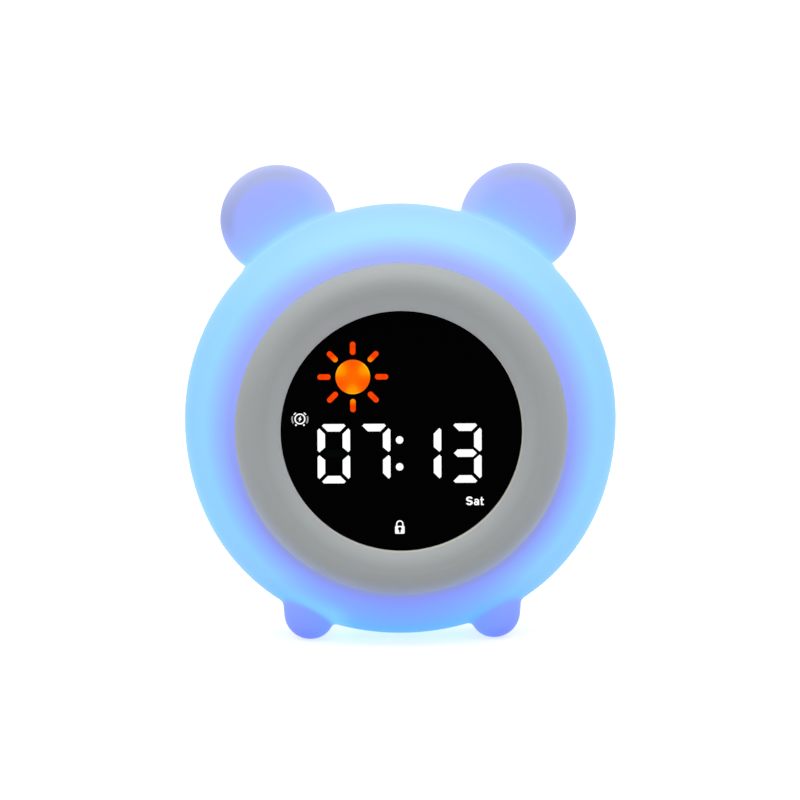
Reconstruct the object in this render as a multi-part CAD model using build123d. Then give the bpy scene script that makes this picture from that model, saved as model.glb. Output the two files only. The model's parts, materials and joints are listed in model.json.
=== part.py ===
from build123d import *
import math
import os

# A child's bedside alarm clock with a night light. A translucent silicone cover with two
# round ears and two feet is stretched over a milky plastic housing; lamps on a ring inside
# make it glow. A convex ring on the front frames a dark round lens over a seven-segment
# display. The flat back carries six push buttons, a sliding power switch, a charging socket
# and the speaker grille.
#
# Every piece is modelled about the clock's own axis: the axis runs along Y through the
# origin, -Y is the front, +Z is up, and y = 0 is the widest plane of the body. stand()
# moves a finished piece so that the soles stand on z = 0 under the middle of the clock.
# All sizes are millimetres and degrees.

# ---------------------------------------------------------------- driving dimensions
# Body of the silicone cover: a round rim turned about the axis, cut off by two flat lips
RIM_CENTRE = 35.5  # from the axis to the middle of the rim's round
RIM_RADIUS = 24.5
COVER_WALL = 2.0
LIP_CUT = 2.0  # how much of the round each flat lip cuts away, ahead of and behind y = 0
COVER_LIP = 1.8  # thickness of the lips
FRONT_LIP_WIDTH = 1.8
REAR_LIP_WIDTH = 1.3

EAR_RADIUS = 16.0
EAR_HALF_DEPTH = 10.5  # also the round of an ear's edge
EAR_STANDOUT = 4.0  # middle of an ear outside the widest radius
EAR_ANGLE = 31.8  # from straight up
EAR_BACK = 11.0  # middle of an ear behind the widest plane
EAR_WALL = 2.2
EAR_FILLET = 2.0

FOOT_WIDTH = 14.2
FOOT_LENGTH = 28.0  # along Y, half of it ahead of the widest plane
FOOT_ROUND = 5.0  # round between a foot's side and its flat sole
FOOT_ROOT = 16.0  # from the sole up to where a foot ends inside the body
FOOT_X = 25.0
SOLE_STANDOUT = 0.6  # flat soles below the widest radius

# Housing and back
SKIN_GAP = 0.2  # air between the cover and the housing
HOUSING_WALL = 2.0
JOINT_Y = 12.0  # where the housing ends and the back begins
TONGUE_LENGTH = 2.0
TONGUE_WALL = 1.4
TONGUE_GAP = 0.3
PANEL_PROUD = 2.0  # how far the flat back stands out of the cover's rear lip
PANEL_GAP = 0.4  # between the panel's edge and the cover's rear lip
PANEL_WALL = 2.0
PANEL_EDGE = 1.2

# Screw posts between the housing and the back
POST_RADIUS = 4.0
POST_MARGIN = 1.1  # between a post and the side of the panel's hollow
POST_ANGLES = (45, 135, 225, 315)

# Front ring, lens and the display stack behind it
RING_OVERHANG = 0.1
RING_SEAT_GAP = 0.1
RING_WALL = 1.8
RING_OUTER_ROUND = 6.0  # round from the outer wall in to the crown
RING_INNER_RUN = 6.5  # from the crown in to the lens
CROWN_RISE = 3.0  # crown ahead of the lens
RING_LIP_RISE = 0.3  # inner edge of the ring ahead of the lens
LEDGE_WIDTH = 1.4
LEDGE_THICKNESS = 1.5
RING_BOSS_RADIUS = 2.75
LENS_GAP = 0.15
LENS_THICKNESS = 2.0
LENS_CHAMFER = 0.3
FILM_THICKNESS = 0.2
FILM_GAP = 0.2
REFLECTOR_DEPTH = 5.5
REFLECTOR_GAP = 0.3
QUARTERS = (0, 90, 180, 270)

# Windows of the display
DIFFUSER_DEPTH = 2.0
DIGIT_WIDTH = 9.1
DIGIT_HEIGHT = 16.5
DIGIT_Z = -6.2
DIGIT_XS = (-18.1, -7.05, 6.8, 17.9)
STROKE = 2.25
SEGMENT_GAP = 0.65
SEGMENT_CORNER = 0.5
SEGMENT_TIP = 0.4  # end of an upright segment above the middle of its digit
MIDDLE_OVERLAP = 0.85  # tip of the middle segment past the uprights' inner sides
COLON_RADIUS = 1.13
COLON_SPREAD = 3.7
SUN_RADIUS = 4.8
SUN_ANGLE = 131.4
SUN_MARGIN = 11.7  # middle of the sun inside the reflector's edge
RAY_COUNT = 8
RAY_INNER = 5.9
RAY_OUTER = 9.7
RAY_WIDTH = 1.76
ALARM_ANGLE = 173.4
ALARM_MARGIN = 4.3
ALARM_WINDOW = (4.6, 4.0)
WEEKDAY_ANGLE = 316.5
WEEKDAY_MARGIN = 4.3
WEEKDAY_WINDOW = (5.8, 2.9)
LOCK_MARGIN = 4.9
LOCK_WINDOW = (3.4, 4.6)
LAMP_SIZE = (1.2, 0.8, 0.7)
REFLECTOR_PIN = 1.1
PIN_GAP = 0.1
PIN_MARGIN = 2.1  # middle of a pin inside the reflector's edge
PIN_LENGTH = 1.2

# Boards
BOARD_THICKNESS = 1.6
MAIN_BOARD_GAP = 1.0  # between the main board and the ring's bosses
BOARD_BOSS_RADIUS = 2.4
BOARD_BOSS_HEIGHT = 4.0
DECK_SHELF = 3.0  # deck left inside the board bosses

# Components on the rear face of the main board: width, height, rise, x, z
CHIPS = (
    (10.0, 10.0, 1.6, -6.0, 4.0),
    (5.0, 4.0, 1.5, 9.0, 9.0),
    (5.0, 4.0, 1.5, 10.0, -2.0),
    (7.0, 4.0, 1.5, -14.0, -9.0),
)
CRYSTAL_PLACE = (17.0, 9.0)
CRYSTAL_RADIUS = 1.5
CRYSTAL_LENGTH = 7.0
PLUGS = ((-12.0, 10.9, 8.0), (0.0, 8.9, 6.0), (12.0, 10.9, 6.0))  # x, up from the opening, width
PLUG_DEPTH = 4.5
PLUG_RISE = 5.5
PLUG_WALL = 0.7

# Night light
CARRIER_FRONT_Y = 3.0
CARRIER_THICKNESS = 2.0
CARRIER_GAP = 1.3  # between the carrier and the open rear of the housing
CARRIER_BOSS_RADIUS = 2.2
CARRIER_BOSS_HEIGHT = 3.0
CARRIER_NOTCH = 7.0
LIGHT_BOARD_MARGIN = 0.5
LIGHT_BOARD_WIDTH = 7.5
LIGHT_BOARD_THICKNESS = 1.2
LIGHT_COUNT = 12
LIGHT_SIZE = 5.0
LIGHT_HEIGHT = 1.6
LIGHT_WINDOW_RADIUS = 2.0
LIGHT_WINDOW_DEPTH = 0.3

# Battery
BATTERY_WIDTH = 50.0
BATTERY_HEIGHT = 34.0
BATTERY_DEPTH = 8.0
BATTERY_EDGE = 2.0
BATTERY_GAP = 0.4
BATTERY_WALL = 1.5
BATTERY_WALL_HEIGHT = 6.0
BATTERY_LEAD_GAP = 8.0
TAPE_THICKNESS = 0.8
TAPE_MARGIN = 4.0

# Speaker
SPEAKER_RADIUS = 18.0
SPEAKER_DEPTH = 14.0
SPEAKER_STEEL = 0.8
MAGNET_RADIUS = 11.0
MAGNET_DEPTH = 6.0
MAGNET_PLATE = 1.2
COIL_RADIUS = 5.2
COIL_GAP = 0.4
CONE_THICKNESS = 0.4
CONE_GAP = 0.5
CONE_RIM = 2.0
CONE_THROAT = 2.4
DOME_RISE = 1.8
SPEAKER_WINDOW = (8.0, 3.6)
GASKET_THICKNESS = 1.0
GASKET_WIDTH = 2.4
SPEAKER_GAP = 0.3
SPEAKER_WALL = 1.5
SPEAKER_WALL_DEPTH = 7.0
GRILLE_HOLE = 0.9
GRILLE_PITCH = 3.6
GRILLE_RINGS = 3

# Rear controls: a ring-shaped board, six keys over an arc, the switch and the socket
REAR_BOARD_INNER_GAP = 0.6
REAR_BOARD_OUTER_GAP = 0.5
REAR_BOSS_RADIUS = 2.3
REAR_BOSS_MARGIN = 2.5
REAR_BOSS_ANGLES = (18, 162, 243, 297)
KEY_NAMES = (
    "alarm_button", "up_button", "light_button",
    "sound_button", "down_button", "clock_button",
)
KEY_STEP = 36.0  # angle between keys, the first one at +X
KEY_RADIUS = 4.3
KEY_GAP = 0.2
KEY_PROUD = 1.3
KEY_EDGE = 0.8
KEY_FLANGE_RADIUS = 5.5
KEY_FLANGE = 1.2
KEY_STEM_RADIUS = 2.0
KEY_STEM = 1.0
TACT_SIZE = 6.0
TACT_BODY = 3.5
TACT_HEIGHT = 5.0
PLUNGER_RADIUS = 1.75
PLUNGER_ROOT = 1.8
PLUNGER_GAP = 0.1
KEY_TRAVEL = 0.5

SOCKET_ANGLE = 270.0
SOCKET_WIDTH = 8.94
SOCKET_HEIGHT = 3.26
SOCKET_WALL = 0.3
SOCKET_FLOOR = 1.0
SOCKET_GAP = 0.2
SOCKET_TONGUE = (6.7, 0.7)
SOCKET_TONGUE_SHORT = 0.8  # end of the tongue inside the mouth of the socket
SOCKET_RECESS = (13.0, 7.4)

SWITCH_ANGLE = 325.0
SWITCH_LENGTH = 8.7
SWITCH_WIDTH = 4.4
SWITCH_HEIGHT = 4.7
SWITCH_SHEET = 0.3
SWITCH_BASE = 1.0
SWITCH_TRAVEL = 2.0
KNOB_LENGTH = 3.4
KNOB_WIDTH = 2.6
KNOB_PROUD = 0.8
KNOB_GAP = 0.25
KNOB_STEM = (1.8, 1.6)
KNOB_FOOT = (3.0, 2.8, 1.0)
KNOB_PLATE = 0.8
KNOB_PLATE_WIDTH = 4.2
SWITCH_RECESS = (9.6, 5.6)
RECESS_DEPTH = 0.8

# Fasteners: shank radius, head radius, head height
COVER_SCREW = (1.4, 2.8, 2.2)
COVER_SCREW_LENGTH = 24.0
COVER_SCREW_FLOOR = 12.0  # underside of the head above the carrier
SMALL_SCREW = (1.0, 1.9, 1.4)
RING_SCREW_LENGTH = 8.0
BOARD_SCREW_LENGTH = 6.0
LIGHT_SCREW_LENGTH = 5.0
THREAD_GAP = 0.05
SCREW_GAP = 0.3
HEAD_GAP = 0.3
PILOT_SPARE = 1.0  # pilot hole beyond the tip of its screw

# ---------------------------------------------------------------- places that follow
BODY_RADIUS = RIM_CENTRE + RIM_RADIUS  # at the widest plane
COVER_LIP_Y = RIM_RADIUS - LIP_CUT
HOUSING_INSET = COVER_WALL + SKIN_GAP
CAVITY_INSET = HOUSING_INSET + HOUSING_WALL
SHOULDER_Y = COVER_LIP_Y - COVER_LIP - SKIN_GAP  # front and rear faces under the lips
EAR_DISTANCE = BODY_RADIUS + EAR_STANDOUT
SOLE_DROP = BODY_RADIUS + SOLE_STANDOUT


def rim_radius(y, inset=0.0):
    """Radius of the body at a distance y from the widest plane, inset under the skin."""
    return RIM_CENTRE + math.sqrt((RIM_RADIUS - inset) ** 2 - y**2)


LIP_RADIUS = rim_radius(COVER_LIP_Y)
FRONT_HOLE = LIP_RADIUS - FRONT_LIP_WIDTH
REAR_HOLE = LIP_RADIUS - REAR_LIP_WIDTH

RING_OUTER = LIP_RADIUS + RING_OVERHANG
CROWN_RADIUS = RING_OUTER - RING_OUTER_ROUND
RING_INNER = CROWN_RADIUS - RING_INNER_RUN
LEDGE_INNER = RING_INNER - LEDGE_WIDTH
LENS_RADIUS = RING_INNER - LENS_GAP
REFLECTOR_RADIUS = LEDGE_INNER - REFLECTOR_GAP
MAIN_BOARD_RADIUS = CROWN_RADIUS - RING_BOSS_RADIUS - MAIN_BOARD_GAP
BOARD_SCREW_CIRCLE = (REFLECTOR_RADIUS + MAIN_BOARD_RADIUS) / 2
DECK_HOLE = BOARD_SCREW_CIRCLE - BOARD_BOSS_RADIUS - DECK_SHELF
PIN_CIRCLE = REFLECTOR_RADIUS - PIN_MARGIN

DECK_REAR_Y = -SHOULDER_Y + HOUSING_WALL
BOARD_FRONT_Y = -SHOULDER_Y - BOARD_THICKNESS
REFLECTOR_FRONT_Y = BOARD_FRONT_Y - REFLECTOR_DEPTH
FILM_FRONT_Y = REFLECTOR_FRONT_Y - FILM_THICKNESS
LENS_REAR_Y = FILM_FRONT_Y - FILM_GAP
LENS_FRONT_Y = LENS_REAR_Y - LENS_THICKNESS
CROWN_Y = LENS_FRONT_Y - CROWN_RISE
RING_SEAT_Y = -COVER_LIP_Y - RING_SEAT_GAP
RING_EDGE_Y = LENS_FRONT_Y - RING_LIP_RISE

PANEL_Y = COVER_LIP_Y + PANEL_PROUD
PANEL_INNER_Y = PANEL_Y - PANEL_WALL
PANEL_RADIUS = REAR_HOLE - PANEL_GAP
RECESS_Y = PANEL_Y - RECESS_DEPTH
POST_CIRCLE = PANEL_RADIUS - PANEL_WALL - POST_MARGIN - POST_RADIUS
CARRIER_REAR_Y = CARRIER_FRONT_Y + CARRIER_THICKNESS
CARRIER_RADIUS = rim_radius(JOINT_Y, CAVITY_INSET) - CARRIER_GAP
LIGHT_BOARD_OUTER = CARRIER_RADIUS - LIGHT_BOARD_MARGIN
LIGHT_BOARD_INNER = LIGHT_BOARD_OUTER - LIGHT_BOARD_WIDTH
LIGHT_CIRCLE = (LIGHT_BOARD_INNER + LIGHT_BOARD_OUTER) / 2
LIGHT_BOARD_Y = CARRIER_FRONT_Y - LIGHT_BOARD_THICKNESS
BATTERY_REAR_Y = CARRIER_FRONT_Y - TAPE_THICKNESS
SCREW_SEAT_Y = CARRIER_REAR_Y + COVER_SCREW_FLOOR

GASKET_Y = PANEL_INNER_Y - GASKET_THICKNESS
SPEAKER_BACK_Y = GASKET_Y - SPEAKER_DEPTH
BASKET_FLOOR_Y = SPEAKER_BACK_Y + MAGNET_DEPTH
SPEAKER_WALL_INNER = SPEAKER_RADIUS + SPEAKER_GAP
SPEAKER_WALL_OUTER = SPEAKER_WALL_INNER + SPEAKER_WALL

KEY_BACK_Y = PANEL_INNER_Y - KEY_GAP  # rear face of a key's flange
PLUNGER_TOP_Y = KEY_BACK_Y - KEY_FLANGE - KEY_STEM
REAR_BOARD_Y = PLUNGER_TOP_Y - TACT_HEIGHT  # face that carries the switches
REAR_BOARD_FRONT_Y = REAR_BOARD_Y - BOARD_THICKNESS
TACT_TOP_Y = REAR_BOARD_Y + TACT_BODY
REAR_BOARD_INNER = SPEAKER_WALL_OUTER + REAR_BOARD_INNER_GAP
REAR_BOARD_OUTER = POST_CIRCLE - POST_RADIUS - REAR_BOARD_OUTER_GAP
CONTROL_CIRCLE = (REAR_BOARD_INNER + REAR_BOARD_OUTER) / 2
REAR_BOSS_CIRCLE = REAR_BOARD_OUTER - REAR_BOSS_MARGIN
SWITCH_TOP_Y = REAR_BOARD_Y + SWITCH_HEIGHT

REAR_REACH = PANEL_Y + KEY_PROUD
EQUATOR_Y = -(CROWN_Y + REAR_REACH) / 2  # place of the widest plane once it stands
FAR = 4 * BODY_RADIUS  # longer than any piece, for cuts that run right through


# ---------------------------------------------------------------- helpers
def rod(radius, front, rear, x=0.0, z=0.0):
    """A cylinder along Y from front to rear."""
    return Pos(x, (front + rear) / 2, z) * Rot(90, 0, 0) * Cylinder(radius, rear - front)


def slab(width, height, front, rear, x=0.0, z=0.0):
    """A box of that width (X) and height (Z) from front to rear."""
    return Pos(x, (front + rear) / 2, z) * Box(width, rear - front, height)


def prism(outline, front, rear):
    """An outline drawn as (x, z), extruded along Y from front to rear."""
    return extrude(Plane.XZ.offset(-rear) * outline, rear - front, dir=(0, -1, 0))


def turned(*edges):
    """A closed profile of edges in (radius, y), turned about the clock's axis."""
    return revolve(make_face(edges), Axis.Y)


def turned_corners(*points):
    return turned(Polyline(*points, close=True))


def ring(inner, outer, front, rear):
    return rod(outer, front, rear) - rod(inner, front, rear)


def on_circle(radius, degrees):
    """(x, z) on a circle about the axis, the angle counted from +X towards +Z."""
    angle = math.radians(degrees)
    return radius * math.cos(angle), radius * math.sin(angle)


def rods(radius, front, rear, circle, angles):
    return [rod(radius, front, rear, *on_circle(circle, angle)) for angle in angles]


def stadium(length, height, x=0.0, z=0.0):
    return Pos(x, z) * SlotOverall(length, height)


def rim_solid(front, rear, inset=0.0):
    """The body between two planes, inset under the skin, filled to the axis."""
    radius = RIM_RADIUS - inset
    start = math.degrees(math.asin(front / radius))
    sweep = math.degrees(math.asin(rear / radius)) - start
    arc = CenterArc((RIM_CENTRE, 0), radius, start, sweep)
    return turned(
        arc,
        Line(arc @ 1, (0, rear)),
        Line((0, rear), (0, front)),
        Line((0, front), arc @ 0),
    )


def screw(seat, length, head_side, sizes, x, z):
    """A screw with its head on a seat at y = seat, behind it (+1) or ahead of it (-1)."""
    shank_radius, head_radius, head_height = sizes
    tip = seat - head_side * length
    top = seat + head_side * head_height
    shank = rod(shank_radius, min(tip, seat), max(tip, seat), x, z)
    return shank + rod(head_radius, min(seat, top), max(seat, top), x, z)


def screws(seat, length, head_side, sizes, circle, angles):
    places = [on_circle(circle, angle) for angle in angles]
    return Compound([screw(seat, length, head_side, sizes, x, z) for x, z in places])


# ---------------------------------------------------------------- silicone cover
def ear_blank(inset=0.0):
    """A flat disc with a fully rounded edge, turned about Y, with the seam on local +X."""
    core = EAR_RADIUS - EAR_HALF_DEPTH
    rim = EAR_HALF_DEPTH - inset
    return turned(
        CenterArc((core, 0), rim, -90, 180),
        Polyline((core, rim), (0, rim), (0, -rim), (core, -rim)),
    )


def at_ear(side, shape):
    """Places an ear with its seam turned away from the body."""
    angle = 90 - side * EAR_ANGLE
    x, z = on_circle(EAR_DISTANCE, angle)
    return Pos(x, EAR_BACK, z) * Rot(0, -angle, 0) * shape


def foot(side):
    """A stub with round ends and a rounded edge to its flat sole."""
    outline = Rot(0, 0, 90) * SlotOverall(FOOT_LENGTH, FOOT_WIDTH)
    stub = extrude(outline, FOOT_ROOT)
    stub = fillet(stub.faces().sort_by(Axis.Z)[0].edges(), FOOT_ROUND)
    return Pos(side * FOOT_X, 0, -SOLE_DROP) * stub


def silicone_cover():
    inner_lip = COVER_LIP_Y - COVER_LIP
    body = rim_solid(-COVER_LIP_Y, COVER_LIP_Y)
    body = body + [at_ear(side, ear_blank()) for side in (-1, 1)]
    creases = body.edges().filter_by(GeomType.BSPLINE)
    body = fillet(creases, EAR_FILLET)
    body = body + [foot(side) for side in (-1, 1)]
    body = body - rim_solid(-inner_lip, inner_lip, COVER_WALL)
    body = body - [at_ear(side, ear_blank(EAR_WALL)) for side in (-1, 1)]
    return body - rod(FRONT_HOLE, -FAR, 0) - rod(REAR_HOLE, 0, FAR)


# ---------------------------------------------------------------- housing
def diffuser_housing():
    shell = rim_solid(-SHOULDER_Y, JOINT_Y, HOUSING_INSET)
    shell = shell - rim_solid(DECK_REAR_Y, JOINT_Y, CAVITY_INSET)
    shell = shell - rod(DECK_HOLE, -FAR, 0)
    boss_top = DECK_REAR_Y + BOARD_BOSS_HEIGHT
    tip = SCREW_SEAT_Y - COVER_SCREW_LENGTH
    pilot = COVER_SCREW[0] + THREAD_GAP
    small_pilot = SMALL_SCREW[0] + THREAD_GAP
    shell = shell + (
        rods(POST_RADIUS, DECK_REAR_Y, CARRIER_FRONT_Y, POST_CIRCLE, POST_ANGLES)
        + rods(BOARD_BOSS_RADIUS, DECK_REAR_Y, boss_top, BOARD_SCREW_CIRCLE, QUARTERS)
    )
    return shell - (
        rods(pilot, tip - PILOT_SPARE, CARRIER_FRONT_Y, POST_CIRCLE, POST_ANGLES)
        + rods(small_pilot, -SHOULDER_Y, boss_top, BOARD_SCREW_CIRCLE, QUARTERS)
        + rods(SMALL_SCREW[0] + SCREW_GAP, -SHOULDER_Y, DECK_REAR_Y, CROWN_RADIUS, QUARTERS)
    )


# ---------------------------------------------------------------- front ring and lens
def bezel_ring():
    """A hollow convex ring with a ledge for the lens and four screw bosses inside."""
    wall = RING_WALL
    drop = RING_EDGE_Y - CROWN_Y
    inner_round = (RING_INNER_RUN**2 + drop**2) / (2 * drop)
    inner_lean = math.degrees(math.asin(RING_INNER_RUN / inner_round))
    skirt = RING_INNER + wall
    skirt_lean = math.degrees(math.asin((CROWN_RADIUS - skirt) / (inner_round - wall)))
    outer_centre = (CROWN_RADIUS, CROWN_Y + RING_OUTER_ROUND)
    inner_centre = (CROWN_RADIUS, CROWN_Y + inner_round)
    outer = CenterArc(outer_centre, RING_OUTER_ROUND, -90, 90)
    inner = CenterArc(inner_centre, inner_round, -90 - inner_lean, inner_lean)
    inner_back = CenterArc(inner_centre, inner_round - wall, -90 - skirt_lean, skirt_lean)
    outer_back = CenterArc(outer_centre, RING_OUTER_ROUND - wall, -90, 90)
    ledge_rear = LENS_REAR_Y + LEDGE_THICKNESS
    shape = turned(
        Line((RING_OUTER, RING_SEAT_Y), outer @ 1),
        outer,
        inner,
        Polyline(
            inner @ 0,
            (RING_INNER, LENS_REAR_Y),
            (LEDGE_INNER, LENS_REAR_Y),
            (LEDGE_INNER, ledge_rear),
            (skirt, ledge_rear),
            inner_back @ 0,
        ),
        inner_back,
        outer_back,
        Polyline(
            outer_back @ 1,
            (RING_OUTER - wall, RING_SEAT_Y),
            (RING_OUTER, RING_SEAT_Y),
        ),
    )
    pilot_end = DECK_REAR_Y - RING_SCREW_LENGTH - PILOT_SPARE
    pilot = SMALL_SCREW[0] + THREAD_GAP
    shape = shape + rods(RING_BOSS_RADIUS, CROWN_Y + wall, -SHOULDER_Y, CROWN_RADIUS, QUARTERS)
    return shape - rods(pilot, pilot_end, -SHOULDER_Y, CROWN_RADIUS, QUARTERS)


def display_lens():
    disc = rod(LENS_RADIUS, LENS_FRONT_Y, LENS_REAR_Y)
    front_edge = disc.edges().filter_by(GeomType.CIRCLE).sort_by(Axis.Y)[0]
    return chamfer(front_edge, LENS_CHAMFER)


# ---------------------------------------------------------------- display windows
def segment_corners():
    """Corner lists of the seven segments of one digit about its middle."""
    half = DIGIT_WIDTH / 2
    top = DIGIT_HEIGHT / 2
    gap = SEGMENT_GAP
    cut = SEGMENT_CORNER
    tip = half - STROKE + MIDDLE_OVERLAP
    right_end = [
        (half - gap - 2 * cut, top),
        (half - gap - cut, top - cut),
        (half - gap - STROKE, top - STROKE),
    ]
    bar = right_end + [(-x, z) for x, z in reversed(right_end)]
    upright = [
        (half, top - gap - 2 * cut),
        (half - cut, top - gap - cut),
        (half - STROKE, top - gap - STROKE),
        (half - STROKE, STROKE / 2 + gap),
        (half - cut, SEGMENT_TIP),
        (half, SEGMENT_TIP + cut),
    ]
    middle = [
        (tip, 0),
        (tip - STROKE / 2, STROKE / 2),
        (STROKE / 2 - tip, STROKE / 2),
        (-tip, 0),
        (STROKE / 2 - tip, -STROKE / 2),
        (tip - STROKE / 2, -STROKE / 2),
    ]
    flips = [(1, 1), (-1, 1), (1, -1), (-1, -1)]
    uprights = [[(x * fx, z * fz) for x, z in upright] for fx, fz in flips]
    return [bar, [(x, -z) for x, z in bar], middle] + uprights


def digit_outlines():
    return [
        Pos(x, DIGIT_Z) * Polygon(*corners, align=None)
        for x in DIGIT_XS
        for corners in segment_corners()
    ]


def colon_outlines():
    middle = (DIGIT_XS[1] + DIGIT_XS[2]) / 2
    return [
        Pos(middle, DIGIT_Z + side * COLON_SPREAD) * Circle(COLON_RADIUS) for side in (-1, 1)
    ]


def sun_place():
    x, z = on_circle(REFLECTOR_RADIUS - SUN_MARGIN, SUN_ANGLE)
    return Pos(x, z)


def ray_outlines():
    middle = (RAY_INNER + RAY_OUTER) / 2
    ray = Pos(middle, 0) * SlotOverall(RAY_OUTER - RAY_INNER, RAY_WIDTH)
    return [sun_place() * Rot(0, 0, k * 360 / RAY_COUNT) * ray for k in range(RAY_COUNT)]


def icon_outlines():
    alarm = on_circle(REFLECTOR_RADIUS - ALARM_MARGIN, ALARM_ANGLE)
    weekday = on_circle(REFLECTOR_RADIUS - WEEKDAY_MARGIN, WEEKDAY_ANGLE)
    lock = (0, LOCK_MARGIN - REFLECTOR_RADIUS)
    return [
        Pos(*alarm) * Rectangle(*ALARM_WINDOW),
        Pos(*weekday) * Rectangle(*WEEKDAY_WINDOW),
        Pos(*lock) * Rectangle(*LOCK_WINDOW),
    ]


def sun_outline():
    return sun_place() * Circle(SUN_RADIUS)


def all_windows():
    return digit_outlines() + colon_outlines() + ray_outlines() + icon_outlines() + [sun_outline()]


def diffusers(outlines):
    """Milky plugs cast into the front of the wells, so they share the wells' walls."""
    rear = REFLECTOR_FRONT_Y + DIFFUSER_DEPTH
    return Compound([prism(outline, REFLECTOR_FRONT_Y, rear) for outline in outlines])


def mask_film():
    return rod(REFLECTOR_RADIUS, FILM_FRONT_Y, REFLECTOR_FRONT_Y)


def segment_reflector():
    block = rod(REFLECTOR_RADIUS, REFLECTOR_FRONT_Y, BOARD_FRONT_Y)
    wells = [prism(outline, REFLECTOR_FRONT_Y, BOARD_FRONT_Y) for outline in all_windows()]
    pins = rods(REFLECTOR_PIN, BOARD_FRONT_Y, BOARD_FRONT_Y + PIN_LENGTH, PIN_CIRCLE, (0, 180))
    return block - wells + pins


def display_leds():
    """One small lamp on the board in the middle of each well."""
    width, height, rise = LAMP_SIZE
    lamps = []
    for outline in all_windows():
        place = outline.center()
        lamps.append(slab(width, height, BOARD_FRONT_Y - rise, BOARD_FRONT_Y, place.X, place.Y))
    return Compound(lamps)


# ---------------------------------------------------------------- main board
def main_board():
    board = rod(MAIN_BOARD_RADIUS, BOARD_FRONT_Y, -SHOULDER_Y)
    clearance = SMALL_SCREW[0] + SCREW_GAP
    pin_hole = REFLECTOR_PIN + PIN_GAP
    return board - (
        rods(clearance, BOARD_FRONT_Y, -SHOULDER_Y, BOARD_SCREW_CIRCLE, QUARTERS)
        + rods(pin_hole, BOARD_FRONT_Y, -SHOULDER_Y, PIN_CIRCLE, (0, 180))
    )


def on_board_back(width, height, rise, x, z):
    """A component on the rear face of the main board, inside the deck's opening."""
    return slab(width, height, -SHOULDER_Y, rise - SHOULDER_Y, x, z)


def main_board_chips():
    return Compound([on_board_back(*chip) for chip in CHIPS])


def clock_crystal():
    x, z = CRYSTAL_PLACE
    return Pos(x, CRYSTAL_RADIUS - SHOULDER_Y, z) * Cylinder(CRYSTAL_RADIUS, CRYSTAL_LENGTH)


def lead_sockets():
    """Three sockets for the leads to the battery, the speaker and the lamps."""
    sockets = []
    floor = PLUG_WALL - SHOULDER_Y
    top = PLUG_RISE - SHOULDER_Y
    for x, margin, width in PLUGS:
        z = margin - DECK_HOLE
        block = on_board_back(width, PLUG_DEPTH, PLUG_RISE, x, z)
        inside = (width - 2 * PLUG_WALL, PLUG_DEPTH - 2 * PLUG_WALL)
        sockets.append(block - slab(*inside, floor, top, x, z))
    return Compound(sockets)


# ---------------------------------------------------------------- carrier and night light
def inner_carrier():
    """The plate between the posts, with the battery's walls ahead and bosses behind."""
    plate = rod(CARRIER_RADIUS, CARRIER_FRONT_Y, CARRIER_REAR_Y)
    inner = (BATTERY_WIDTH + 2 * BATTERY_GAP, BATTERY_HEIGHT + 2 * BATTERY_GAP)
    outer = (inner[0] + 2 * BATTERY_WALL, inner[1] + 2 * BATTERY_WALL)
    wall_front = CARRIER_FRONT_Y - BATTERY_WALL_HEIGHT
    walls = slab(*outer, wall_front, CARRIER_FRONT_Y) - slab(*inner, wall_front, CARRIER_FRONT_Y)
    walls = walls - slab(BATTERY_LEAD_GAP, FAR, wall_front, CARRIER_FRONT_Y)
    boss_rear = CARRIER_REAR_Y + CARRIER_BOSS_HEIGHT
    plate = plate + walls + rods(
        CARRIER_BOSS_RADIUS, CARRIER_REAR_Y, boss_rear, LIGHT_CIRCLE, QUARTERS
    )
    notch_z = (outer[1] / 2 + LIGHT_BOARD_INNER) / 2
    notch = stadium(3 * CARRIER_NOTCH, CARRIER_NOTCH, 0, notch_z)
    notch = notch + stadium(3 * CARRIER_NOTCH, CARRIER_NOTCH, 0, -notch_z)
    pilot = SMALL_SCREW[0] + THREAD_GAP
    post_hole = COVER_SCREW[0] + SCREW_GAP
    return plate - prism(notch, CARRIER_FRONT_Y, CARRIER_REAR_Y) - (
        rods(pilot, CARRIER_FRONT_Y, boss_rear, LIGHT_CIRCLE, QUARTERS)
        + rods(post_hole, CARRIER_FRONT_Y, CARRIER_REAR_Y, POST_CIRCLE, POST_ANGLES)
    )


def ring_light_board():
    board = ring(LIGHT_BOARD_INNER, LIGHT_BOARD_OUTER, LIGHT_BOARD_Y, CARRIER_FRONT_Y)
    clearance = SMALL_SCREW[0] + SCREW_GAP
    return board - rods(clearance, LIGHT_BOARD_Y, CARRIER_FRONT_Y, LIGHT_CIRCLE, QUARTERS)


def ring_leds():
    """Square lamps with a round window, turned to face outwards along the ring."""
    step = 360 / LIGHT_COUNT
    front = LIGHT_BOARD_Y - LIGHT_HEIGHT
    lamp = slab(LIGHT_SIZE, LIGHT_SIZE, front, LIGHT_BOARD_Y, LIGHT_CIRCLE, 0)
    lamp = lamp - rod(LIGHT_WINDOW_RADIUS, front, front + LIGHT_WINDOW_DEPTH, LIGHT_CIRCLE, 0)
    return Compound([Rot(0, (k + 0.5) * step, 0) * lamp for k in range(LIGHT_COUNT)])


# ---------------------------------------------------------------- battery
def battery_cell():
    front = BATTERY_REAR_Y - BATTERY_DEPTH
    cell = slab(BATTERY_WIDTH, BATTERY_HEIGHT, front, BATTERY_REAR_Y)
    return fillet(cell.edges().filter_by(Axis.X), BATTERY_EDGE)


def battery_tape():
    width = BATTERY_WIDTH - 2 * TAPE_MARGIN
    height = BATTERY_HEIGHT - 2 * TAPE_MARGIN
    return slab(width, height, BATTERY_REAR_Y, CARRIER_FRONT_Y)


# ---------------------------------------------------------------- speaker
def speaker_gasket():
    return ring(SPEAKER_RADIUS - GASKET_WIDTH, SPEAKER_RADIUS, GASKET_Y, PANEL_INNER_Y)


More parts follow.
